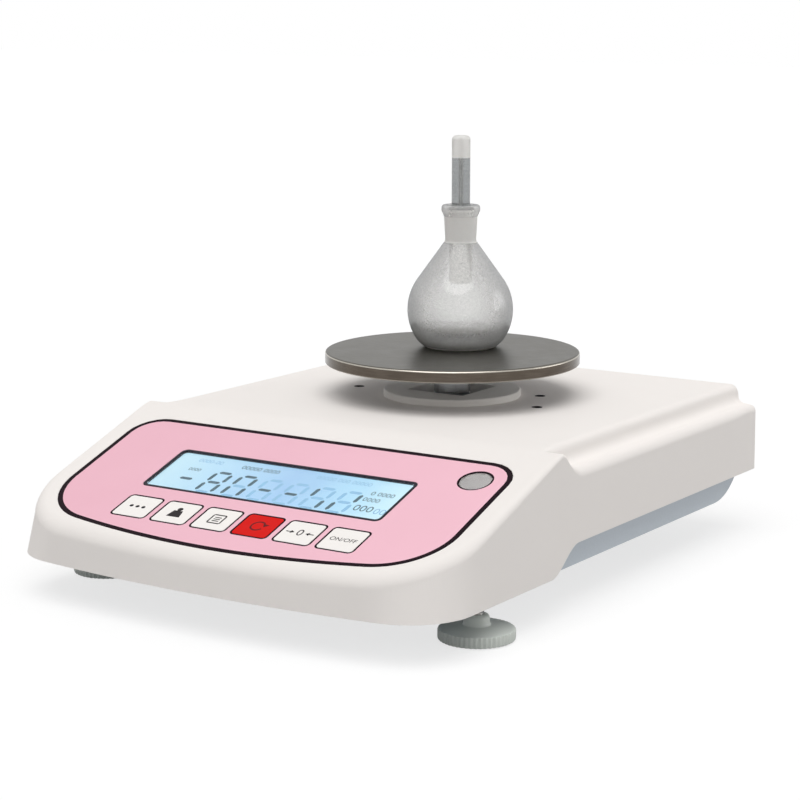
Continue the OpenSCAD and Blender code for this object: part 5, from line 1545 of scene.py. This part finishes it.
@dataclass
class Feet:
    """Two levelling feet at the front and two rubber feet at the rear."""

    wheel_r: float = 16.0
    flutes: int = 48
    flute_depth: float = 0.5
    rim_low: float = 0.4
    rim_top: float = 5.2
    cone_h: float = 1.2
    hub_r: float = 5.3
    hub_h: float = 4.6
    stud_r: float = 3.0
    stud_z: float = 3.9
    stud_top: float = 36.2
    pitch: float = 1.0
    thread: float = 0.42
    rear_x: float = 58.0
    rear_y: float = 98.0

    def wheel(self) -> Mesh:
        """Builds one fluted wheel with its domed hub, bored for screw and pad."""
        wheel, low, top = self.wheel_r, self.rim_low, self.rim_top
        hub, cone = self.hub_r, self.rim_top + self.cone_h
        profile = [(0, low), (wheel - 0.9, low), (wheel - 0.25, low + 0.25), (wheel, low + 0.9),
                   (wheel, top - 0.9), (wheel - 0.25, top - 0.25), (wheel - 0.9, top),
                   (wheel - 2.4, top + 0.12), (hub + 1.3, cone - 0.15), (hub + 0.5, cone + 0.15),
                   (hub + 0.1, cone + 0.8)]
        profile += arc(hub - 1.7, cone + self.hub_h - 1.7, 1.7, 0, 90, 6)
        profile.append((0, cone + self.hub_h))
        bm = revolved(profile, self.flutes * 6)
        for vert in bm.verts:
            r = math.hypot(vert.co.x, vert.co.y)
            if r > self.wheel_r - 2.0:
                angle = math.atan2(vert.co.y, vert.co.x)
                cut = self.flute_depth * (1 - math.cos(angle * self.flutes)) / 2
                share = min(1.0, (r - self.wheel_r + 2.0) / 1.1)
                vert.co.xy *= (r - cut * share) / r
        pad_hole, pin_hole = (11.3, 64, -1, 1.7), (2.3, 32, -1, 3.3)
        for r, steps, z0, z1 in (pad_hole, pin_hole, (self.stud_r + 0.05, 48, self.stud_z, 20)):
            bm = carved(bm, prism(circle(r, steps), z0, z1))
        return bm

    def screw(self) -> Mesh:
        """Builds one threaded screw as stacked ridges, its tip chamfered."""
        low = self.stud_r - self.thread
        profile = [(0, self.stud_z), (low, self.stud_z)]
        z = self.stud_z + 0.3
        while z < self.stud_top - 2:
            profile += [(low, z), (self.stud_r, z + self.thread), (self.stud_r, z + 0.55),
                        (low, z + 0.95)]
            z += self.pitch
        profile += [(low, self.stud_top - 0.6), (self.stud_r - 1.0, self.stud_top),
                    (0, self.stud_top)]
        return revolved(profile, 48)

    def pad(self) -> Mesh:
        """Builds the still pad under a wheel, with its pin."""
        return revolved([(0, 0), (10.5, 0), (11, 0.5), (11, 1.1), (10.7, 1.4), (2, 1.4),
                         (2, 2.8), (1.8, 3.0), (0, 3.0)], 96)

    def rear_foot(self) -> Mesh:
        """Builds one tapered rubber foot, bored for its screw."""
        return revolved([(2.3, 7), (2.3, 19.1), (10, 19.1), (9.1, 1.4), (8.6, 0.4), (8, 0),
                         (4.6, 0), (4.1, 0.5), (4.1, 7)], 96)

    def build(self) -> None:
        """Builds all four feet."""
        for side, name in ((-1, "left"), (1, "right")):
            pieces = (("wheel", self.wheel(), "wheel", "foot_grey", FOOT_PLASTIC),
                      ("screw", self.screw(), "wheel", "steel_screws", STEEL),
                      ("pad", self.pad(), "pad", "black_rubber", RUBBER))
            for part, bm, body, slot, finish in pieces:
                deliver(moved(bm, side * SIZE.foot_x, SIZE.foot_y), f"{name}_{part}_body",
                        f"{name}_foot_{body}", slot, [finish], [f"{name}_foot_{part}"])
        rear = [moved(self.rear_foot(), side * self.rear_x, self.rear_y) for side in (-1, 1)]
        deliver(joined(rear), "rear_feet_pair", "housing", "black_rubber", [RUBBER], ["rear_feet"])


@dataclass
class Inside:
    """Finishes for the CAD nodes that keep their own shape."""

    def build(self) -> None:
        """Dresses each node in its finish."""
        finishes = {
            "base_tray": GREY_ABS, "lcd_window": WINDOW, "backlight": LIGHT_GUIDE,
            "display_board": BOARD, "key_switches": SWITCH_PLASTIC,
            "display_screws": STEEL, "load_cell": MILLED_ALLOY, "cell_spacer": MILLED_ALLOY,
            "cell_screws": STEEL, "pan_carrier": MILLED_ALLOY, "carrier_screws": STEEL,
            "overload_stop": STEEL, "main_board": BOARD, "board_screws": STEEL,
            "ribbon_cable": RIBBON, "power_inlet": BLACK_PLASTIC, "data_port": TIN_PLATE,
            "case_screws": STEEL, "foot_inserts": BRASS, "rear_foot_screws": STEEL,
        }
        for name, finish in finishes.items():
            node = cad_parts[name]
            node.data.materials.clear()
            node.data.materials.append(finish.material())
            LOG.info("%s: dressed in %s", name, finish.name)


# Studio ---------------------------------------------------------------------------------


@dataclass
class Studio:
    """A pale floor, soft light and the camera at the photograph's place."""

    place: Triple = (0.5522, -0.8372, 0.2613)
    tilt: float = 79.487
    roll: float = -0.06
    yaw: float = 33.321
    lens: float = 100.83
    sky: float = 0.37
    floor_seen: float = 0.32  # how pale the paper is where it is seen
    floor_lift: float = 0.715  # glow added there, so that the bare floor shows white
    floor_dim: float = 0.5  # how pale it is for the light that it throws back

    def camera(self) -> None:
        """Sets up the camera."""
        data = bpy.data.cameras.new("camera")
        data.lens, data.sensor_width = self.lens, 36.0
        data.clip_start, data.clip_end = 0.05, 50.0
        obj = added("camera", data)
        obj.location = self.place
        obj.rotation_euler = [math.radians(a) for a in (self.tilt, self.roll, self.yaw)]
        bpy.context.scene.camera = obj

    @staticmethod
    def seen(graph: Graph) -> Wire:
        """Tells rays that show the surroundings, straight, mirrored or through glass."""
        path = graph.node("ShaderNodeLightPath")
        return (path.output("Is Camera Ray") + path.output("Is Glossy Ray")
                + path.output("Is Transmission Ray")).clamped()

    def floor(self) -> None:
        """Lays the floor, which shows white to the camera and keeps the object's shadow."""
        bm = bmesh.new()
        bmesh.ops.create_grid(bm, x_segments=8, y_segments=8, size=6.0)
        mesh = settled(bm, "floor")
        material = bpy.data.materials.new("floor_paper")
        material.use_nodes = True
        graph = Graph(material.node_tree)
        grain = graph.noise(40, 2.0)
        papers = [graph.principled({
            "Base Color": graph.mix(grain, (bare,) * 3, (bare * 0.99,) * 3),
            "Roughness": 0.9, "Specular IOR Level": 0.0})
            for bare in (self.floor_dim, self.floor_seen)]
        glow = graph.node("ShaderNodeEmission", {}, {
            "Color": (1.0, 1.0, 1.0), "Strength": self.floor_lift})
        lifted = graph.node("ShaderNodeAddShader", {}, {0: papers[1], 1: glow})
        graph.output(graph.node("ShaderNodeMixShader", {}, {
            0: self.seen(graph), 1: papers[0], 2: lifted}))
        mesh.materials.append(material)
        added("floor", mesh)

    def world(self) -> None:
        """Fills the sky: white where it is seen or mirrored, softer as light."""
        world = bpy.data.worlds.new("studio")
        world.use_nodes = True
        bpy.context.scene.world = world
        graph = Graph(world.node_tree)
        soft, back = [graph.node("ShaderNodeBackground", {}, {
            "Color": (1.0, 1.0, 1.0), "Strength": strength}) for strength in (self.sky, 1.0)]
        mixed = graph.node("ShaderNodeMixShader", {}, {0: self.seen(graph), 1: soft, 2: back})
        graph.output(mixed, "ShaderNodeOutputWorld")

    def lamp(self, name: str, towards: Triple, share: float, width: float) -> None:
        """Hangs one distant soft lamp.

        Args:
            name: The lamp's name.
            towards: The direction in which it hangs, seen from the object.
            share: What it adds to a white surface that faces it, from 0 to 1.
            width: How wide it looks, in degrees.
        """
        data = bpy.data.lights.new(name, "SUN")
        data.energy, data.angle = share * math.pi, math.radians(width)
        obj = added(name, data)
        obj.location = towards
        obj.rotation_euler = (-Vector(towards)).to_track_quat("-Z", "Y").to_euler()

    def build(self) -> None:
        """Sets up camera, floor, sky and lamps."""
        bpy.context.scene.view_settings.view_transform = "Standard"
        self.camera()
        self.floor()
        self.world()
        self.lamp("overhead", towards=(0.12, -0.34, 0.933), share=0.575, width=58)
        self.lamp("side", towards=(0.76, 0.64, 0.08), share=0.25, width=40)


def main() -> None:
    """Builds the studio and every sub-assembly."""
    logging.basicConfig(level=logging.INFO, format="%(name)s: %(message)s")
    Studio().build()
    for assembly in (Housing(), Console(), Keys(), Weighing(), DensityBottle(), Feet(), Inside()):
        assembly.build()


if __name__ == "__main__":
    main()
